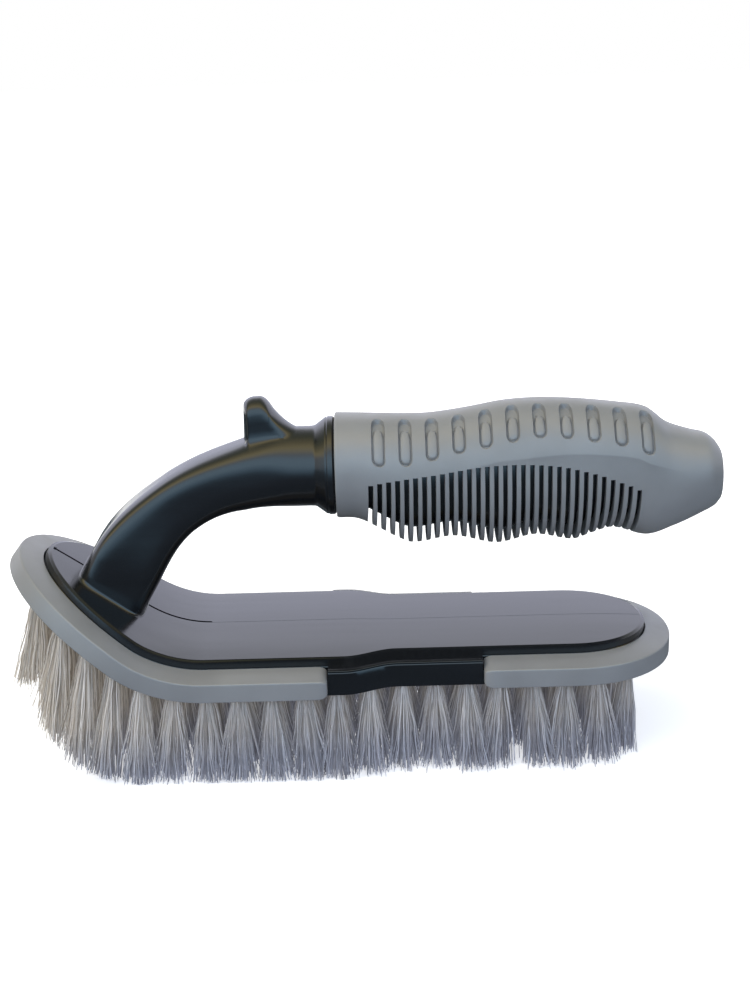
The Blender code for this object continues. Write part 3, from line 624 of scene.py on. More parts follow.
def foot_rings():
    """Rings of the fillet that spreads the neck's foot over the deck's straight part."""
    x, z = neck_path(NECK_LEAN)
    tangent = Vector((cos(CURL_ANGLE), 0.0, -sin(CURL_ANGLE)))
    normal = Vector((sin(CURL_ANGLE), 0.0, cos(CURL_ANGLE)))
    axis = Vector((cos(NECK_LEAN), 0.0, sin(NECK_LEAN)))
    straight_start = CURL_START - CURL_RADIUS * CURL_ANGLE
    start = Vector((x, 0.0, z)) - unshifted(straight_start, 0.0, 0.0)
    turns = [FOOT_TURN * k / FOOT_STEPS for k in range(FOOT_STEPS, -1, -1)]
    shares = [(0.60, -0.30), (0.93, -0.06)] + [(1 - cos(t), 1 - sin(t)) for t in turns]
    rings = []
    for flare, rise in shares:
        level = DECK_EDGE + FOOT_HEIGHT * rise
        centre = start - axis * (start.dot(normal) - level) / axis.dot(normal)
        s = straight_start + centre.dot(tangent)
        wide = COLUMN_HALF_WIDTH + FOOT_SIDE_FLARE * flare
        long = COLUMN_HALF_HEIGHT + FOOT_FLARE * flare
        ring = []
        for angle in ring_angles():
            radius = squared(angle, wide, long, long, NECK_SQUARENESS)
            up, across = radius * sin(angle), radius * cos(angle)
            crown = deck_crown(s - up, across)
            ring.append(place(s - up, across, level + crown * (1 - max(rise, 0.0))))
        rings.append(ring)
    return rings


def neck_section(share):
    """Half width, upper and lower half height, and squareness along the neck."""
    thin, swell = ease(share / 0.55), ease((share - 0.6) / 0.7)
    high = mix(mix(COLUMN_HALF_HEIGHT, NECK_HALF_HEIGHT, thin), THROAT_RADIUS, swell)
    wide = mix(mix(COLUMN_HALF_WIDTH, NECK_HALF_WIDTH, thin), THROAT_RADIUS, swell)
    squareness = mix(NECK_SQUARENESS, SHAFT_SQUARENESS, share)
    return wide, high - NECK_DIP * ease((share - 0.5) / 0.5), high, squareness


def neck_rings():
    """Rings of the bend, from above the foot to the horn. It thins first and then swells."""
    rings = []
    last = asin((NECK_TOP - HORN_FACE + GAP) / NECK_RADIUS)
    for k in range(1, NECK_STEPS + 1):
        share = k / NECK_STEPS
        heading = mix(NECK_LEAN, last, share)
        x, z = neck_path(heading)
        tilt = heading * ease((1 - share) / 0.45)
        rings.append(rounded_ring(x, z, tilt, squared, *neck_section(share)))
    return rings


def horn_top(x):
    """Height of the handle's top line over its axis, behind the horn's upright face."""
    crest = HORN_FACE + HORN_CREST
    if x >= crest:
        return along(HORN_BACK_LINE, x - HORN_FACE)
    share = (crest - x) / HORN_CREST
    return HORN_HEIGHT - HORN_ROUND * (1 - sqrt(clamp(1 - share * share)))


def arched(angle, wide, tall, arch):
    """Polar radius of a section with upright sides and a rounded top."""
    across, up = abs(cos(angle)), sin(angle)
    foot = max(tall - arch, 0.0)
    if up * wide <= across * foot:
        return wide / across
    spread = (across / wide) ** 2 + (up / arch) ** 2
    lift = up * foot / arch**2
    return (lift + sqrt(lift**2 - spread * ((foot / arch) ** 2 - 1))) / spread


def horn_radius(angle, shape, tall, thin, fillet):
    """Polar radius of the shaft and the horn on it, blended by a fillet."""
    shaft = squared(angle, *shape)
    if sin(angle) <= 0:
        return shaft
    blade = arched(angle, thin, tall, HORN_ARCH)
    return max(shaft, blade) + max(fillet - abs(shaft - blade), 0.0) ** 2 / (4 * fillet)


def horn_rings():
    """Rings of the horn and of the throat behind it, upright all the way."""
    rings = []
    for k in range(HORN_STEPS + 1):
        share = (k / HORN_STEPS) ** HORN_CROWDING
        x = HORN_FACE + HORN_LENGTH * share
        heading = asin(clamp((NECK_TOP - x) / NECK_RADIUS))
        z = neck_path(heading)[1]
        throat = (THROAT_RADIUS, THROAT_RADIUS, THROAT_RADIUS, 2.0)
        shape = [mix(a, b, ease(share)) for a, b in zip(neck_section(1.0), throat)]
        tall = horn_top(x) + HANDLE_HEIGHT - z
        nose = clamp((x - HORN_FACE) / HORN_NOSE)
        thin = HORN_HALF_WIDTH * sqrt(1 - (1 - nose) ** 2) + 0.0001
        fillet = HORN_FILLET * (1 - share) + NEAR
        rings.append(rounded_ring(x, z, 0.0, horn_radius, shape, tall, thin, fillet))
    return rings


def collar_rings():
    """Rings of the collar that the sleeve butts against."""
    start = COLLAR_FACE - COLLAR_LENGTH
    cone = start + COLLAR_CONE
    corners = (
        (start - 0.0020, THROAT_RADIUS),
        (start, THROAT_RADIUS + 0.0001),
        (cone, COLLAR_RADIUS - COLLAR_GROOVE / 2),
        (cone + COLLAR_GROOVE, COLLAR_RADIUS - COLLAR_GROOVE),
        (cone + 2 * COLLAR_GROOVE, COLLAR_RADIUS),
        (COLLAR_FACE - COLLAR_ROUND, COLLAR_RADIUS),
        (COLLAR_FACE, COLLAR_RADIUS - COLLAR_ROUND),
        (COLLAR_FACE, COLLAR_RADIUS - 3 * COLLAR_ROUND),
    )
    profile = eased_corners(corners, (0, 0.0007, 0.0002, 0.0001, 0.0002, 0.0003, 0.0003, 0), 5)
    return [rounded_ring(x, HANDLE_HEIGHT, 0.0, lambda a, r=r: r) for x, r in profile]


def grip_shape(run, side_inset, bottom_inset):
    """Middle height, half height and half width of the grip, moved inwards by the insets."""
    share = run / GRIP_LENGTH
    top = along(GRIP_TOP_LINE, share) - side_inset
    bottom = along(GRIP_BOTTOM_LINE, share) + bottom_inset
    wide = GRIP_HALF_WIDTH + along(GRIP_SIDE_LINE, share) - side_inset
    return HANDLE_HEIGHT + (top + bottom) / 2, (top - bottom) / 2, wide


def round_point(angle, wide, high, squareness):
    """(y, height) on a rounded section."""
    power = 2 / squareness
    across = copysign(abs(cos(angle)) ** power, cos(angle))
    up = copysign(abs(sin(angle)) ** power, sin(angle))
    return wide * across, high * up


def grip_ring(run, x, side_inset, bottom_inset, angles, sink_at=None):
    """Ring at x with the grip's shape at a distance run from the sleeve's front face."""
    middle, half, wide = grip_shape(run, side_inset, bottom_inset)
    ring = []
    for angle in angles:
        y, up = round_point(angle, wide, half, GRIP_SQUARENESS)
        if sink_at:
            inwards = Vector((y / wide**2, up / half**2)).normalized() * sink_at(run, angle, middle + up)
            y, up = y - inwards.x, up - inwards.y
        ring.append(Vector((x, y, middle + up)) + SHIFT)
    return ring


def pad_sink(run, angle):
    """Depth of the pads' oval grooves, each round a domed pill."""
    k = round((run - PAD_START) / PAD_PITCH)
    if not 0 <= k < PAD_COUNT:
        return 0.0
    spot = PAD_START + PAD_PITCH * k
    reach = PAD_WIDTH / 2
    low = radians(along(PAD_BOTTOM_LINE, spot / GRIP_LENGTH))
    turn = angle if angle < pi / 2 else pi - angle
    up = turn * PAD_TURN_RADIUS
    lower = low * PAD_TURN_RADIUS + reach
    upper = PAD_TOP * PAD_TURN_RADIUS - reach * PAD_ARCH

    def inside(radius, top):
        over = up - clamp(up, lower, top)
        return radius - hypot(run - spot, over / PAD_ARCH if over > 0 else over)

    depth = inside(reach, upper)
    if depth <= 0:
        return 0.0
    hood = ease((up - upper + PAD_HOOD + 0.002) / 0.004)
    pill = inside(reach - PAD_GROOVE, upper - PAD_HOOD)
    floor = mix(PAD_DEPTH, PAD_HOOD_DEPTH, hood)
    dome = PAD_EDGE + PAD_DOME * (1 - ease(pill / reach))
    return floor * ease(depth / 0.0004) - (floor - dome) * ease(pill / 0.0005)


def panel_sink(run, height):
    """Depth of the panel that the slots lie in, under its upper crease."""
    share = run / GRIP_LENGTH
    fade = ease((share - 0.20) / 0.22) * ease((0.93 - share) / 0.16)
    below = along(PANEL_LINE, share) - (height - HANDLE_HEIGHT)
    if below <= 0 or fade == 0:
        return 0.0
    return PANEL_DEPTH * fade * (1 - exp(-below / PANEL_SLOPE)) * exp(-below / PANEL_FADE)


def sleeve_sink(run, angle, height):
    """Depth of all that is sunk into the sleeve's outside."""
    if 0 < angle < pi:
        return pad_sink(run, angle) + panel_sink(run, height)
    return panel_sink(run, height)


def sleeve_runs():
    """Distances from the front face, closest together over the pads."""
    runs = {0.0, 0.0002, 0.0006, 0.0012}
    for k in range(PAD_COUNT):
        spot = PAD_START + PAD_PITCH * k
        reach = PAD_WIDTH / 2
        inner = [reach - PAD_GROOVE * t for t in (1.3, 0.95, 0.6, 0.3, 0.0)]
        steps = (0.0, 0.0006, 0.0011, 0.0015, *inner, reach + 0.0002)
        runs.update(spot + turn * step for step in steps for turn in (-1, 1))
    runs.update(0.0024 + 0.00135 * k for k in range(8))
    first = PAD_START + PAD_PITCH * (PAD_COUNT - 1) + PAD_WIDTH
    shares = [(1 - k / TAIL_STEPS) ** 1.5 for k in range(TAIL_STEPS + 1)]
    runs.update(GRIP_LENGTH - (GRIP_LENGTH - first) * share for share in shares)
    for k in range(PAD_COUNT - 1):
        spot = PAD_START + PAD_PITCH * k
        beside = PAD_WIDTH * 0.54
        runs.update(mix(spot + beside, spot + PAD_PITCH - beside, t) for t in (0.25, 0.5, 0.75))
    return sorted(runs)


def sleeve_angles():
    """Angles round the sleeve, closest together where the pads are."""
    side = [radians(13 + 0.7 * k) for k in range(95)]
    top = [radians(78.8 + 22.4 * k / 7) for k in range(1, 7)]
    low = [radians(167 + 206 * k / 76) for k in range(1, 76)]
    return side + top + [pi - a for a in reversed(side)] + low


def sleeve_shell():
    """Sleeve without its slots: the outside, and the bore that the core fills."""
    bm = bmesh.new()
    angles = sleeve_angles()
    outside = []
    for run in sleeve_runs():
        edge = SLEEVE_ROUND * (1 - clamp(run / (2 * SLEEVE_ROUND))) ** 2
        ring = grip_ring(run, GRIP_START + run, edge, edge, angles, sleeve_sink)
        outside.append([bm.verts.new(point) for point in ring])
    inside = []
    for k in range(BORE_STEPS + 1):
        run = CORE_LENGTH * k / BORE_STEPS
        ring = grip_ring(run, GRIP_START + run, GRIP_WALL, RIB_DEPTH, angles)
        inside.append([bm.verts.new(point) for point in ring])
    skin(bm, outside, capped=False)
    skin(bm, inside, capped=False)
    skin(bm, [outside[0], inside[0]], capped=False)
    bm.faces.new(outside[-1])
    bm.faces.new(inside[-1])
    return finished("grip_sleeve_soft", bm, SOFT_SHARP)


def slot_cutter(bm, k):
    """Funnel that cuts one slot, flared where the ribs end in round tips."""
    run = SLOT_START + SLOT_PITCH * k
    share = run / GRIP_LENGTH
    top = along(SLOT_TOP_LINE, share)
    middle, half, wide = grip_shape(run, 0.0, 0.0)
    sweep = along(SLOT_SWEEP_LINE, k / (SLOT_COUNT - 1))
    start = asin(clamp((HANDLE_HEIGHT + top - middle) / half, -1.0, 1.0))
    rings = []
    for i in range(SLOT_STEPS + 1):
        angle = start - (pi + 2 * start) * i / SLOT_STEPS
        low = clamp((HANDLE_HEIGHT + top - middle - half * sin(angle)) / (top + 0.028))
        flare = mix(SLOT_ROUND, SLOT_FLARE, ease((low - 0.70) / 0.3))
        y, up = round_point(angle, 1.0, 1.0, GRIP_SQUARENESS)
        wall = [(depth, SLOT_WIDTH / 2 + flare * share) for depth, share in SLOT_FUNNEL]
        ring = []
        for depth, reach in wall + [(depth, -reach) for depth, reach in reversed(wall)]:
            x = GRIP_START + run + reach
            across, z = y * (wide - depth), middle + up * (half - depth)
            down = (HANDLE_HEIGHT + top - z) / (top - middle + HANDLE_HEIGHT + half)
            ring.append(Vector((x - sweep * max(down, 0.0) ** 2, across, z)) + SHIFT)
        rings.append(ring)
    loft(bm, rings)


def grip_sleeve(grey):
    """Soft sleeve, closed at the tail, with slots that leave finger ribs underneath."""
    sleeve = sleeve_shell()
    bm = bmesh.new()
    for k in range(SLOT_COUNT):
        slot_cutter(bm, k)
    combine(sleeve, finished("slots", bm), "DIFFERENCE")
    dress(sleeve, grey, "grey_rubber", "grip_sleeve")


def handle_body(black):
    """Deck, neck, thumb horn, collar and core shaft in one moulding."""
    body = finished("handle_moulding", plate(deck_profile, deck_rise, deck_columns()))
    bm = bmesh.new()
    loft(bm, foot_rings() + neck_rings() + horn_rings() + collar_rings())
    combine(body, finished("neck_blank", bm), "UNION")
    bm = bmesh.new()
    angles = round_angles(CORE_POINTS)
    insets = (GRIP_WALL + GAP, RIB_DEPTH + GAP)
    rings = [grip_ring(0.0, COLLAR_FACE - COLLAR_LENGTH / 4, *insets, angles)]
    for k in range(1, CORE_STEPS + 1):
        run = CORE_LENGTH * k / CORE_STEPS
        rings.append(grip_ring(run, GRIP_START + run - GAP, *insets, angles))
    loft(bm, rings)
    combine(body, finished("core_blank", bm), "UNION")
    dress(body, black, "black_plastic", "handle_body")


def block_profile(station):
    """Edge of the block, stepped back where a bumper's flange lies on it."""
    floor = SEAT_HEIGHT - GAP
    step = BUMPER_REACH + GAP if under_bumper(station) else WALL_INSET
    return [
        (WALL_INSET + BLOCK_ROUND, 0.0),
        (WALL_INSET + BLOCK_ROUND * 0.3, BLOCK_ROUND * 0.3),
        (WALL_INSET, BLOCK_ROUND),
        (WALL_INSET, floor),
        (step, floor + 0.00001),
        (step, BLOCK_HEIGHT - 0.0003),
        (step + 0.0002, BLOCK_HEIGHT),
    ]


def brush_block(black):
    """Base plate with a hole for each tuft, and room for the screws' heads."""
    block = finished("brush_block_plate", plate(block_profile, lambda s, y: 0.0, (1.0, -1.0)))
    bm = bmesh.new()
    for k in range(ROW_COUNT):
        for y, side in tuft_places(k):
            drilled(bm, row_place(k), side * y, TUFT_HOLE_RADIUS, TUFT_HOLE_DEPTH, TUFT_HOLE_SIDES)
    for k in SCREW_ROWS:
        drilled(bm, row_place(k), 0.0, SCREW_ROOM, SCREW_ROOM_DEPTH, SCREW_ROOM_SIDES)
    combine(block, finished("holes", bm), "DIFFERENCE")
    dress(block, black, "black_plastic", "brush_block")


def drilled(bm, s, y, radius, depth, count):
    """Cutter for a round hole in the block's underside."""
    matrix = Matrix.Translation(place(s, y, 0.0)) @ Matrix.Rotation(curl_turn(s), 4, "Y")
    turns = round_angles(count)
    loft(bm, [[matrix @ polar(radius, turn, rise) for turn in turns] for rise in (-0.0015, depth)])


def bumper_section(end_share):
    """Outline of a bumper's section. end_share runs from 0 at its end to 1 where it is full."""
    cut = BUMPER_END_ROUND * 0.5 * (1 - sqrt(1 - (1 - end_share) ** 2))
    corners = (
        (cut, cut), (cut, BUMPER_CREASE - cut), (BUMPER_REACH - cut * 0.4, BUMPER_TOP - cut),
        (BUMPER_REACH - cut * 0.4, SEAT_HEIGHT), (SEAT_INSET, SEAT_HEIGHT), (SEAT_INSET, cut),
    )
    return eased_corners(corners, (0.0005, 0.0006, 0.0004, 0, 0, 0), 5)


def bumper(name, node, end, toward, grey):
    """Soft strip that wraps one end of the block, from one side round to the other."""
    legs = []
    for k in range(11):
        share = (k / 10) ** 1.6
        legs.append((body_station(end + toward * BUMPER_END_ROUND * share), share))
    full = legs[-1][0]
    inner = [u for u in rim_stations() if (u - full) * toward > 0.002]
    legs += [(u, 1.0) for u in inner[::toward]]
    rings = []
    for side, leg in ((1, legs), (-1, legs[-2::-1])):
        for station, share in leg:
            ring = []
            for inset, n in bumper_section(share):
                s, w = rim_point(station, inset)
                ring.append(place(s, side * w, n))
            rings.append(ring)
    bm = bmesh.new()
    loft(bm, rings)
    dress(finished(name, bm, SOFT_SHARP), grey, "grey_rubber", node)


def row_place(k):
    """s of row k, counted from the heel."""
    return HEEL_TIP - HEEL_ROW_INSET - ROW_PITCH * k


def tuft_columns(k):
    """y of the tufts on one side of a row, the last by the rim. Odd rows leave the middle free."""
    room = half_width(row_place(k), TUFT_INSET)
    offset = (k % 2) / 2
    steps = max(round(room / COLUMN_PITCH - offset), 1 - k % 2)
    pitch = room / (steps + offset)
    return [(step + offset) * pitch for step in range(steps + 1)]


def tuft_places(k):
    """(y, side) of all the tufts in a row. Side is -1 for those at -y."""
    return [(y, side) for y in tuft_columns(k) for side in ((1, -1) if y > 0 else (1,))]


def tip_height(x):
    """Height of the trimmed tips over the ground."""
    reach = clamp(TRIM_START + SHIFT.x - x, 0.0, 0.96 * TRIM_RADIUS)
    return TRIM_RADIUS - sqrt(TRIM_RADIUS**2 - reach**2)


def bristle_path(s, y, side, draw, clump, lean):
    """Points of one bristle, from its hole to its trimmed tip. The clump's z is its trim."""
    turn = draw.uniform(0, 2 * pi)
    out = sqrt(draw.random())
    bend = curl_turn(s)
    middle = place(s, y, 0.0)
    own = polar(out, turn)
    held = own * TUFT_HOLE_RADIUS * TUFT_FILL
    root = place(s + held.x, side * (y + held.y), TUFT_HOLE_DEPTH * 0.5)
    fan = own.lerp(clump, CLUMPING) * TUFT_SPREAD + lean
    x = middle.x - TOE_LEAN * middle.z * bend / CURL_ANGLE + fan.x * cos(bend)
    x += draw.gauss(0, TIP_STRAY)
    limit = clamp(x, TOE_LIMIT, HEEL_LIMIT)
    x = limit - LIMIT_FOLD * (x - limit)
    splay = SIDE_SPLAY * (y / half_width(s, 0.0)) ** 3
    out_y = y + splay + fan.y + draw.gauss(0, TIP_STRAY)
    out_y = min(out_y, TIP_LIMIT - LIMIT_SPREAD * draw.random())
    trim = clump.z + UNEVEN_TRIM * draw.random() ** 2 + TIP_LIFT
    tip = Vector((x, side * out_y, tip_height(x) + trim))
    sag = Vector((draw.gauss(0, SAG), draw.gauss(0, SAG), 0.0))
    points = []
    for t in (0.0, 0.25, 0.5, 0.75, 1.0):
        wave = CRIMP * sin(CRIMP_TURN * t + 3 * turn)
        bow = sin(pi * t) * 0.9
        points.append(root.lerp(tip, t) + sag * bow + Vector((wave, wave, 0.0)))
    return points


def bristle(bm, points, tone, shade, spin):
    """Three-sided bristle along points. The layer tone holds its shade."""
    rings = []
    turns = round_angles(3)
    for step, point in enumerate(points):
        radius = BRISTLE_RADIUS * (1 - BRISTLE_TAPER * step / (len(points) - 1))
        rings.append([bm.verts.new(point + polar(radius, spin + turn)) for turn in turns])
        for vert in rings[-1]:
            vert[tone] = shade
    skin(bm, rings)


def bristle_row(k, coat):
    """One row of tufts as many fine bristles, each with its own shade."""
    draw = random.Random(100 + k)
    bm = bmesh.new()
    tone = bm.verts.layers.float.new("tone")
    for y, side in tuft_places(k):
        turns = [2 * pi * (i + draw.random()) / CLUMPS for i in range(CLUMPS)]
        clumps = []
        for turn in turns:
            out = draw.uniform(0.2, 1.15)
            trim = CLUMP_TRIM * draw.random() ** 3
            clumps.append(polar(out, turn, trim))
        lean = Vector((draw.gauss(0, TUFT_LEAN), draw.gauss(0, TUFT_LEAN), 0.0))
        for number in range(BRISTLES):
            points = bristle_path(row_place(k), y, side, draw, clumps[number % CLUMPS], lean)
            bristle(bm, points, tone, draw.random(), draw.uniform(0, 2 * pi))
    tufts = finished(f"bristles_{k + 1:02d}", bm, FIBRE_SHARP)
    dress(tufts, coat, "bristle", f"tuft_row_{k + 1:02d}")


def feed(tree, value, socket):
    """Links a node's output to a socket, or sets the socket to a plain value."""
    if isinstance(value, bpy.types.NodeSocket):
        tree.links.new(value, socket)
    else:
        socket.default_value = value


def fed(tree, made, **values):
    """Feeds a node's inputs by name."""
    for key, value in values.items():
        feed(tree, value, made.inputs[key.replace("_", " ")])
    return made


def node(tree, kind, **values):
    """Adds a node and feeds its inputs by name."""
    return fed(tree, tree.nodes.new(kind), **values)


def new_material(name):
    """Material with its node tree and its shader."""
    made = bpy.data.materials.new(name)
    made.use_nodes = True
    return made, made.node_tree, made.node_tree.nodes["Principled BSDF"]


def surfaced(tree, shown):
    """Makes shown the material's surface."""
    tree.links.new(shown, tree.nodes["Material Output"].inputs["Surface"])


def own_place(tree):
    """Point on the object, in its own space."""
    return tree.nodes.new("ShaderNodeTexCoord").outputs["Object"]


def axis(tree, letter):
    """One coordinate of that point."""
    return node(tree, "ShaderNodeSeparateXYZ", Vector=own_place(tree)).outputs[letter]


def fitted(tree, source, low, high, start=0.0, end=1.0):
    """Turns low to high into start to end, and holds the value outside."""
    span = {"From_Min": low, "From_Max": high, "To_Min": start, "To_Max": end}
    return node(tree, "ShaderNodeMapRange", Value=source, **span).outputs["Result"]


def maths(tree, operation, first, second, clamped=False):
    """Result of an operation on two values."""
    made = tree.nodes.new("ShaderNodeMath")
    made.operation = operation
    made.use_clamp = clamped
    feed(tree, first, made.inputs[0])
    feed(tree, second, made.inputs[1])
    return made.outputs[0]


def distance(tree, vector):
    """Length of a vector."""
    made = tree.nodes.new("ShaderNodeVectorMath")
    made.operation = "LENGTH"
    tree.links.new(vector, made.inputs[0])
    return made.outputs["Value"]


def joined(tree, kind, first, second, **values):
    """Adds or mixes two shaders."""
    made = node(tree, kind, **values)
    tree.links.new(first, made.inputs[len(made.inputs) - 2])
    tree.links.new(second, made.inputs[len(made.inputs) - 1])
    return made.outputs[0]


def mixed(tree, factor, first, second):
    """Mixes two colours."""
    made = tree.nodes.new("ShaderNodeMix")
    made.data_type = "RGBA"
    colours = [socket for socket in made.inputs if socket.type == "RGBA"]
    for value, socket in zip((factor, first, second), (made.inputs["Factor"], *colours)):
        feed(tree, value, socket)
    return [socket for socket in made.outputs if socket.type == "RGBA"][0]


def ramp(tree, source, stops):
    """Colour ramp on source. Each stop is a position with a colour or a grey value."""
    made = node(tree, "ShaderNodeValToRGB", Fac=source)
    elements = made.color_ramp.elements
    while len(elements) < len(stops):
        elements.new(0.5)
    for element, (position, colour) in zip(elements, stops):
        element.position = position
        element.color = (*(colour if isinstance(colour, tuple) else (colour,) * 3), 1.0)
    return made.outputs["Color"]


def noise(tree, scale, detail, stretch=(1.0, 1.0, 1.0)):
    """Noise in the object's own space, stretched along its axes."""
    fit = node(tree, "ShaderNodeMapping", Vector=own_place(tree), Scale=stretch)
    made = node(tree, "ShaderNodeTexNoise", Vector=fit.outputs["Vector"], Scale=scale, Detail=detail)
    return made.outputs["Fac"]


def bump(tree, source, strength, height):
    """Normal of a surface with a relief."""
    made = node(tree, "ShaderNodeBump", Height=source, Strength=strength, Distance=height)
    return made.outputs["Normal"]


def black_plastic():
    """Glossy moulded plastic with a faint haze of handling marks."""
    made, tree, shader = new_material("black_plastic_gloss")
    haze = noise(tree, 30.0, 5.0, (0.35, 2.0, 2.0))
    streaks = noise(tree, 60.0, 6.0, (0.12, 2.5, 2.5))
    tints = ((0.30, (0.0060, 0.0068, 0.0080)), (0.75, (0.0105, 0.0115, 0.0140)))
    fed(
        tree, shader, Base_Color=ramp(tree, haze, tints),
        Roughness=ramp(tree, streaks, ((0.30, 0.13), (0.72, 0.24))),
        Normal=bump(tree, noise(tree, 240.0, 3.0), 0.08, 0.0002),
    )
    return made


def grey_rubber():
    """Satin thermoplastic rubber with a fine grain and soft mottling."""
    made, tree, shader = new_material("grey_rubber_satin")
    tints = ((0.30, (0.222, 0.220, 0.214)), (0.72, (0.266, 0.264, 0.257)))
    fed(
        tree, shader, Base_Color=ramp(tree, noise(tree, 45.0, 6.0), tints),
        Roughness=ramp(tree, noise(tree, 160.0, 5.0), ((0.30, 0.33), (0.70, 0.46))),
        Normal=bump(tree, noise(tree, 1800.0, 2.0), 0.15, 0.0001),
    )
    return made


def bristle_coat():
    """Pale synthetic fibre that lets light through, with painted shade that makes it darker and cooler
    at the tips and away from the toe, and a glow that stands for light between the fibres.
    """
    made, tree, shader = new_material("bristle_fibre")
    tone = tree.nodes.new("ShaderNodeAttribute")
    tone.attribute_name = "tone"
    pale = ramp(tree, tone.outputs["Fac"], (
        (0.0, (0.40, 0.36, 0.31)), (0.35, (0.59, 0.55, 0.49)), (0.75, (0.74, 0.70, 0.64)),
        (1.0, (0.90, 0.87, 0.82)),
    ))
    # Painted shade: a darker, cooler copy of the fibre's tone, mixed in towards the tips and the heel
    painted_shade_tone = ramp(tree, tone.outputs["Fac"], (
        (0.0, (0.23, 0.23, 0.26)), (0.5, (0.38, 0.38, 0.42)), (1.0, (0.60, 0.61, 0.66)),
    ))
    # Where the painted shade falls: more of it at low z near the tips, and more towards the heel at high
    # x
    low = fitted(tree, axis(tree, "Z"), *COOL_SHADE_LOW)
    back = fitted(tree, axis(tree, "X"), *COOL_SHADE_BACK)
    colour = mixed(tree, maths(tree, "ADD", low, back, clamped=True), pale, painted_shade_tone)
    fed(
        tree, shader, Base_Color=colour, Emission_Color=colour, Emission_Strength=BRISTLE_GLOW,
        Roughness=ramp(tree, noise(tree, 400.0, 2.0), ((0.3, 0.30), (0.7, 0.45))),
    )
    through = node(tree, "ShaderNodeBsdfTranslucent", Color=colour).outputs[0]
    surfaced(tree, joined(tree, "ShaderNodeMixShader", shader.outputs[0], through, Fac=THROUGH_SHARE))
    return made


def plated_steel():
    """Zinc plated steel, brushed by its tooling."""
    made, tree, shader = new_material("steel_plated")
    marks = noise(tree, 900.0, 4.0)
    fed(
        tree, shader, Metallic=1.0,
        Base_Color=ramp(tree, marks, ((0.3, (0.48, 0.48, 0.49)), (0.7, (0.62, 0.62, 0.63)))),
        Roughness=ramp(tree, marks, ((0.3, 0.25), (0.7, 0.42))),
    )
    return made


def camera():
    """Camera at the photograph's viewing angle."""
    back = Vector((
        sin(CAMERA_YAW) * cos(CAMERA_PITCH),
        -cos(CAMERA_YAW) * cos(CAMERA_PITCH),
        sin(CAMERA_PITCH),
    ))
    level = Vector((cos(CAMERA_YAW), sin(CAMERA_YAW), 0.0))
    upright = back.cross(level)
    right = level * cos(CAMERA_ROLL) + upright * sin(CAMERA_ROLL)
    up = upright * cos(CAMERA_ROLL) - level * sin(CAMERA_ROLL)
    data = bpy.data.cameras.new("camera")
    data.lens = CAMERA_LENS
    data.sensor_width = 36.0
    made = added("camera", data)
    turned = Matrix((right, up, back)).transposed().to_4x4()
    made.matrix_world = Matrix.Translation(CAMERA_AIM + SHIFT + back * CAMERA_DISTANCE) @ turned
    bpy.context.scene.camera = made


def seen_directly(tree):
    """1 for what the camera sees straight or in gloss or glass, 0 for the light on the object."""
    path = tree.nodes.new("ShaderNodeLightPath")
    seen = path.outputs["Is Camera Ray"]
    for name in ("Is Glossy Ray", "Is Transmission Ray"):
        seen = maths(tree, "MAXIMUM", seen, path.outputs[name])
    return seen


def world():
    """Plain ambient light, and a white background."""
    made = bpy.data.worlds.new("studio")
    made.use_nodes = True
    bpy.context.scene.world = made
    tree = made.node_tree
    shown = mixed(tree, seen_directly(tree), (*AMBIENT, 1.0), WHITE)
    tree.links.new(shown, tree.nodes["Background"].inputs["Color"])


def sheet(name, rows, coat, glossy_only):
    """Open surface of the studio through rows of points."""
    bm = bmesh.new()
    grid = [[bm.verts.new(point) for point in row] for row in rows]
    for first, second in zip(grid, grid[1:]):
        for i in range(len(first) - 1):
            bm.faces.new((first[i], first[i + 1], second[i + 1], second[i]))
    made = meshed(name, bm)
    paint(made, coat)
    if glossy_only:
        made.visible_camera = False
        made.visible_diffuse = False
        made.visible_shadow = False
        made.visible_transmission = False
    made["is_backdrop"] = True


def glowing(name, stops, spread_at):
    """Material that glows in colours spread by a value that spread_at adds to its tree."""
    coat, tree, shader = new_material(name)
    glow = node(tree, "ShaderNodeEmission", Color=ramp(tree, spread_at(tree), stops))
    surfaced(tree, glow.outputs[0])
    tree.nodes.remove(shader)
    return coat


def floor():
    """White floor that keeps a soft shadow, and sends less light back up than it shows."""
    coat, tree, shader = new_material("floor_white")
    spot = own_place(tree)
    lift = fitted(tree, distance(tree, spot), *FLOOR_FADE, FLOOR_LIFT, 1.0)
    shown = node(tree, "ShaderNodeBsdfDiffuse", Color=(FLOOR_SHOWN, FLOOR_SHOWN, FLOOR_SHOWN, 1.0))
    bright = node(tree, "ShaderNodeEmission", Color=WHITE, Strength=lift)
    white = joined(tree, "ShaderNodeAddShader", shown.outputs[0], bright.outputs[0])
    squeezed = node(tree, "ShaderNodeMapping", Vector=spot, Scale=(0.45, 1.0, 1.0))
    near = fitted(tree, distance(tree, squeezed.outputs["Vector"]), *GLOW_FADE, 1.0, 0.0)
    lit = node(tree, "ShaderNodeBsdfDiffuse", Color=(*FLOOR_LIT, 1.0))
    under = node(tree, "ShaderNodeEmission", Color=(*FLOOR_GLOW, 1.0), Strength=near)
    sent = joined(tree, "ShaderNodeAddShader", lit.outputs[0], under.outputs[0])
    surfaced(tree, joined(tree, "ShaderNodeMixShader", sent, white, Fac=seen_directly(tree)))
    tree.nodes.remove(shader)
    edge = (-6.0, 6.0)
    sheet("floor", [[(x, y, -0.0002) for x in edge] for y in edge], coat, False)


def turn_about_x(tree):
    """Angle round the X axis, from the front horizon over the top, as a share of the wall."""
    front = maths(tree, "MULTIPLY", axis(tree, "Y"), -1.0)
    turn = maths(tree, "ARCTAN2", axis(tree, "Z"), front)
    return fitted(tree, turn, 0.0, radians(WALL_TURN))


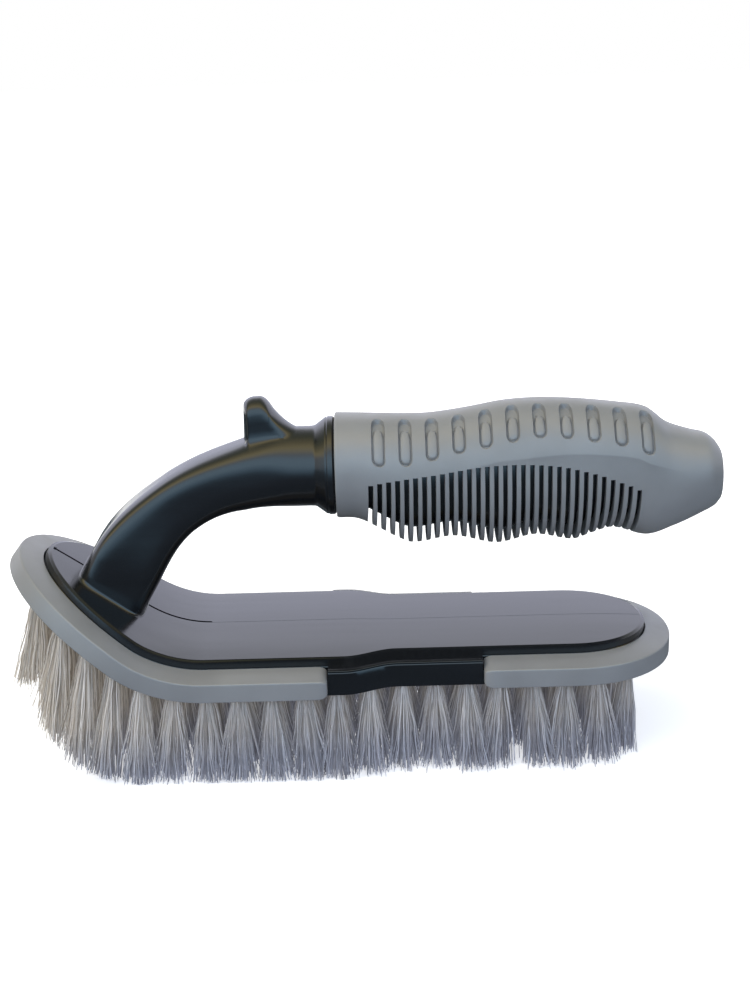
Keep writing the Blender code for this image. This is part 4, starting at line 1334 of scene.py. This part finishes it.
def studio_wall():
    """Tunnel round the brush that only its gloss shows, palest behind and above."""
    tones = (
        (0, (0.60, 1.00, 1.35)), (8, (0.95, 1.50, 2.00)), (20, (1.45, 2.15, 2.70)),
        (38, (1.40, 2.05, 2.60)), (50, (1.40, 1.60, 1.75)), (62, (2.30, 2.05, 1.35)),
        (72, (2.40, 2.02, 1.02)), (86, (1.40, 1.18, 0.58)), (104, (0.52, 0.53, 0.30)),
        (120, (0.48, 0.50, 0.42)), (133, (0.85, 0.87, 0.90)), (147, (1.85, 1.90, 2.20)),
        (160, (1.42, 1.46, 1.76)), (172, (1.06, 1.09, 1.32)),
    )
    stops = [(turn / WALL_TURN, tone) for turn, tone in tones]
    rows = []
    for k in range(WALL_STEPS + 1):
        turn = radians(WALL_TURN * k / WALL_STEPS)
        rows.append([(x, -WALL_RADIUS * cos(turn), WALL_RADIUS * sin(turn)) for x in WALL_ENDS])
    sheet("studio_wall", rows, glowing("studio_wall_paint", stops, turn_about_x), True)


def card(name, stops, fade, ends, edges, level):
    """Card on the floor that only the gloss shows. Its colours run along y from fade to fade."""
    coat = glowing(f"{name}_paint", stops, lambda tree: fitted(tree, axis(tree, "Y"), *fade))
    sheet(name, [[(x, y, level) for x in ends] for y in edges], coat, True)


def cards():
    """Dark card in front of the brush, and a pale one that lights the corner of the horn."""
    dark = (
        (0.0, (0.10, 0.13, 0.15)), (0.15, (0.12, 0.15, 0.18)), (0.32, (0.22, 0.35, 0.46)),
        (1.0, (0.60, 1.00, 1.35)),
    )
    pale = (
        (0.0, (0.12, 0.18, 0.22)), (0.5, (1.1, 1.3, 1.4)), (0.8, (0.9, 0.85, 0.4)),
        (1.0, (0.2, 0.2, 0.14)),
    )
    card("front_card", dark, (-0.05, -1.5), WALL_ENDS, (0.5, -WALL_RADIUS), 0.0)
    card("side_card", pale, (-0.08, 0.10), (-1.2, -0.24), (0.10, -0.08), 0.001)


def lamp(name, place_at, aim, size, power, colour):
    """Soft area lamp that faces a point."""
    data = bpy.data.lights.new(name, "AREA")
    data.shape = "RECTANGLE"
    data.size, data.size_y = size
    data.energy = power
    data.color = colour
    made = added(name, data)
    made.location = place_at
    made.rotation_euler = (Vector(aim) - Vector(place_at)).to_track_quat("-Z", "Y").to_euler()
    made.visible_glossy = False


def screws(steel):
    """The screws stay as they are packed, and get their material."""
    for number in range(1, len(SCREW_ROWS) + 1):
        paint(frame["nodes"][f"deck_screw_{number}"], steel)


def build():
    """Makes the pieces of the brush, and the studio round it."""
    black = black_plastic()
    grey = grey_rubber()
    fibre = bristle_coat()
    handle_body(black)
    brush_block(black)
    bumper("bumper_toe", "front_bumper", FRONT_BUMPER_END, -1, grey)
    bumper("bumper_heel", "rear_bumper", REAR_BUMPER_END, 1, grey)
    grip_sleeve(grey)
    for k in range(ROW_COUNT):
        bristle_row(k, fibre)
    screws(plated_steel())
    floor()
    studio_wall()
    cards()
    world()
    for name, values in LAMPS.items():
        lamp(name, *values)
    camera()
    bpy.context.scene.view_settings.view_transform = "Standard"


build()
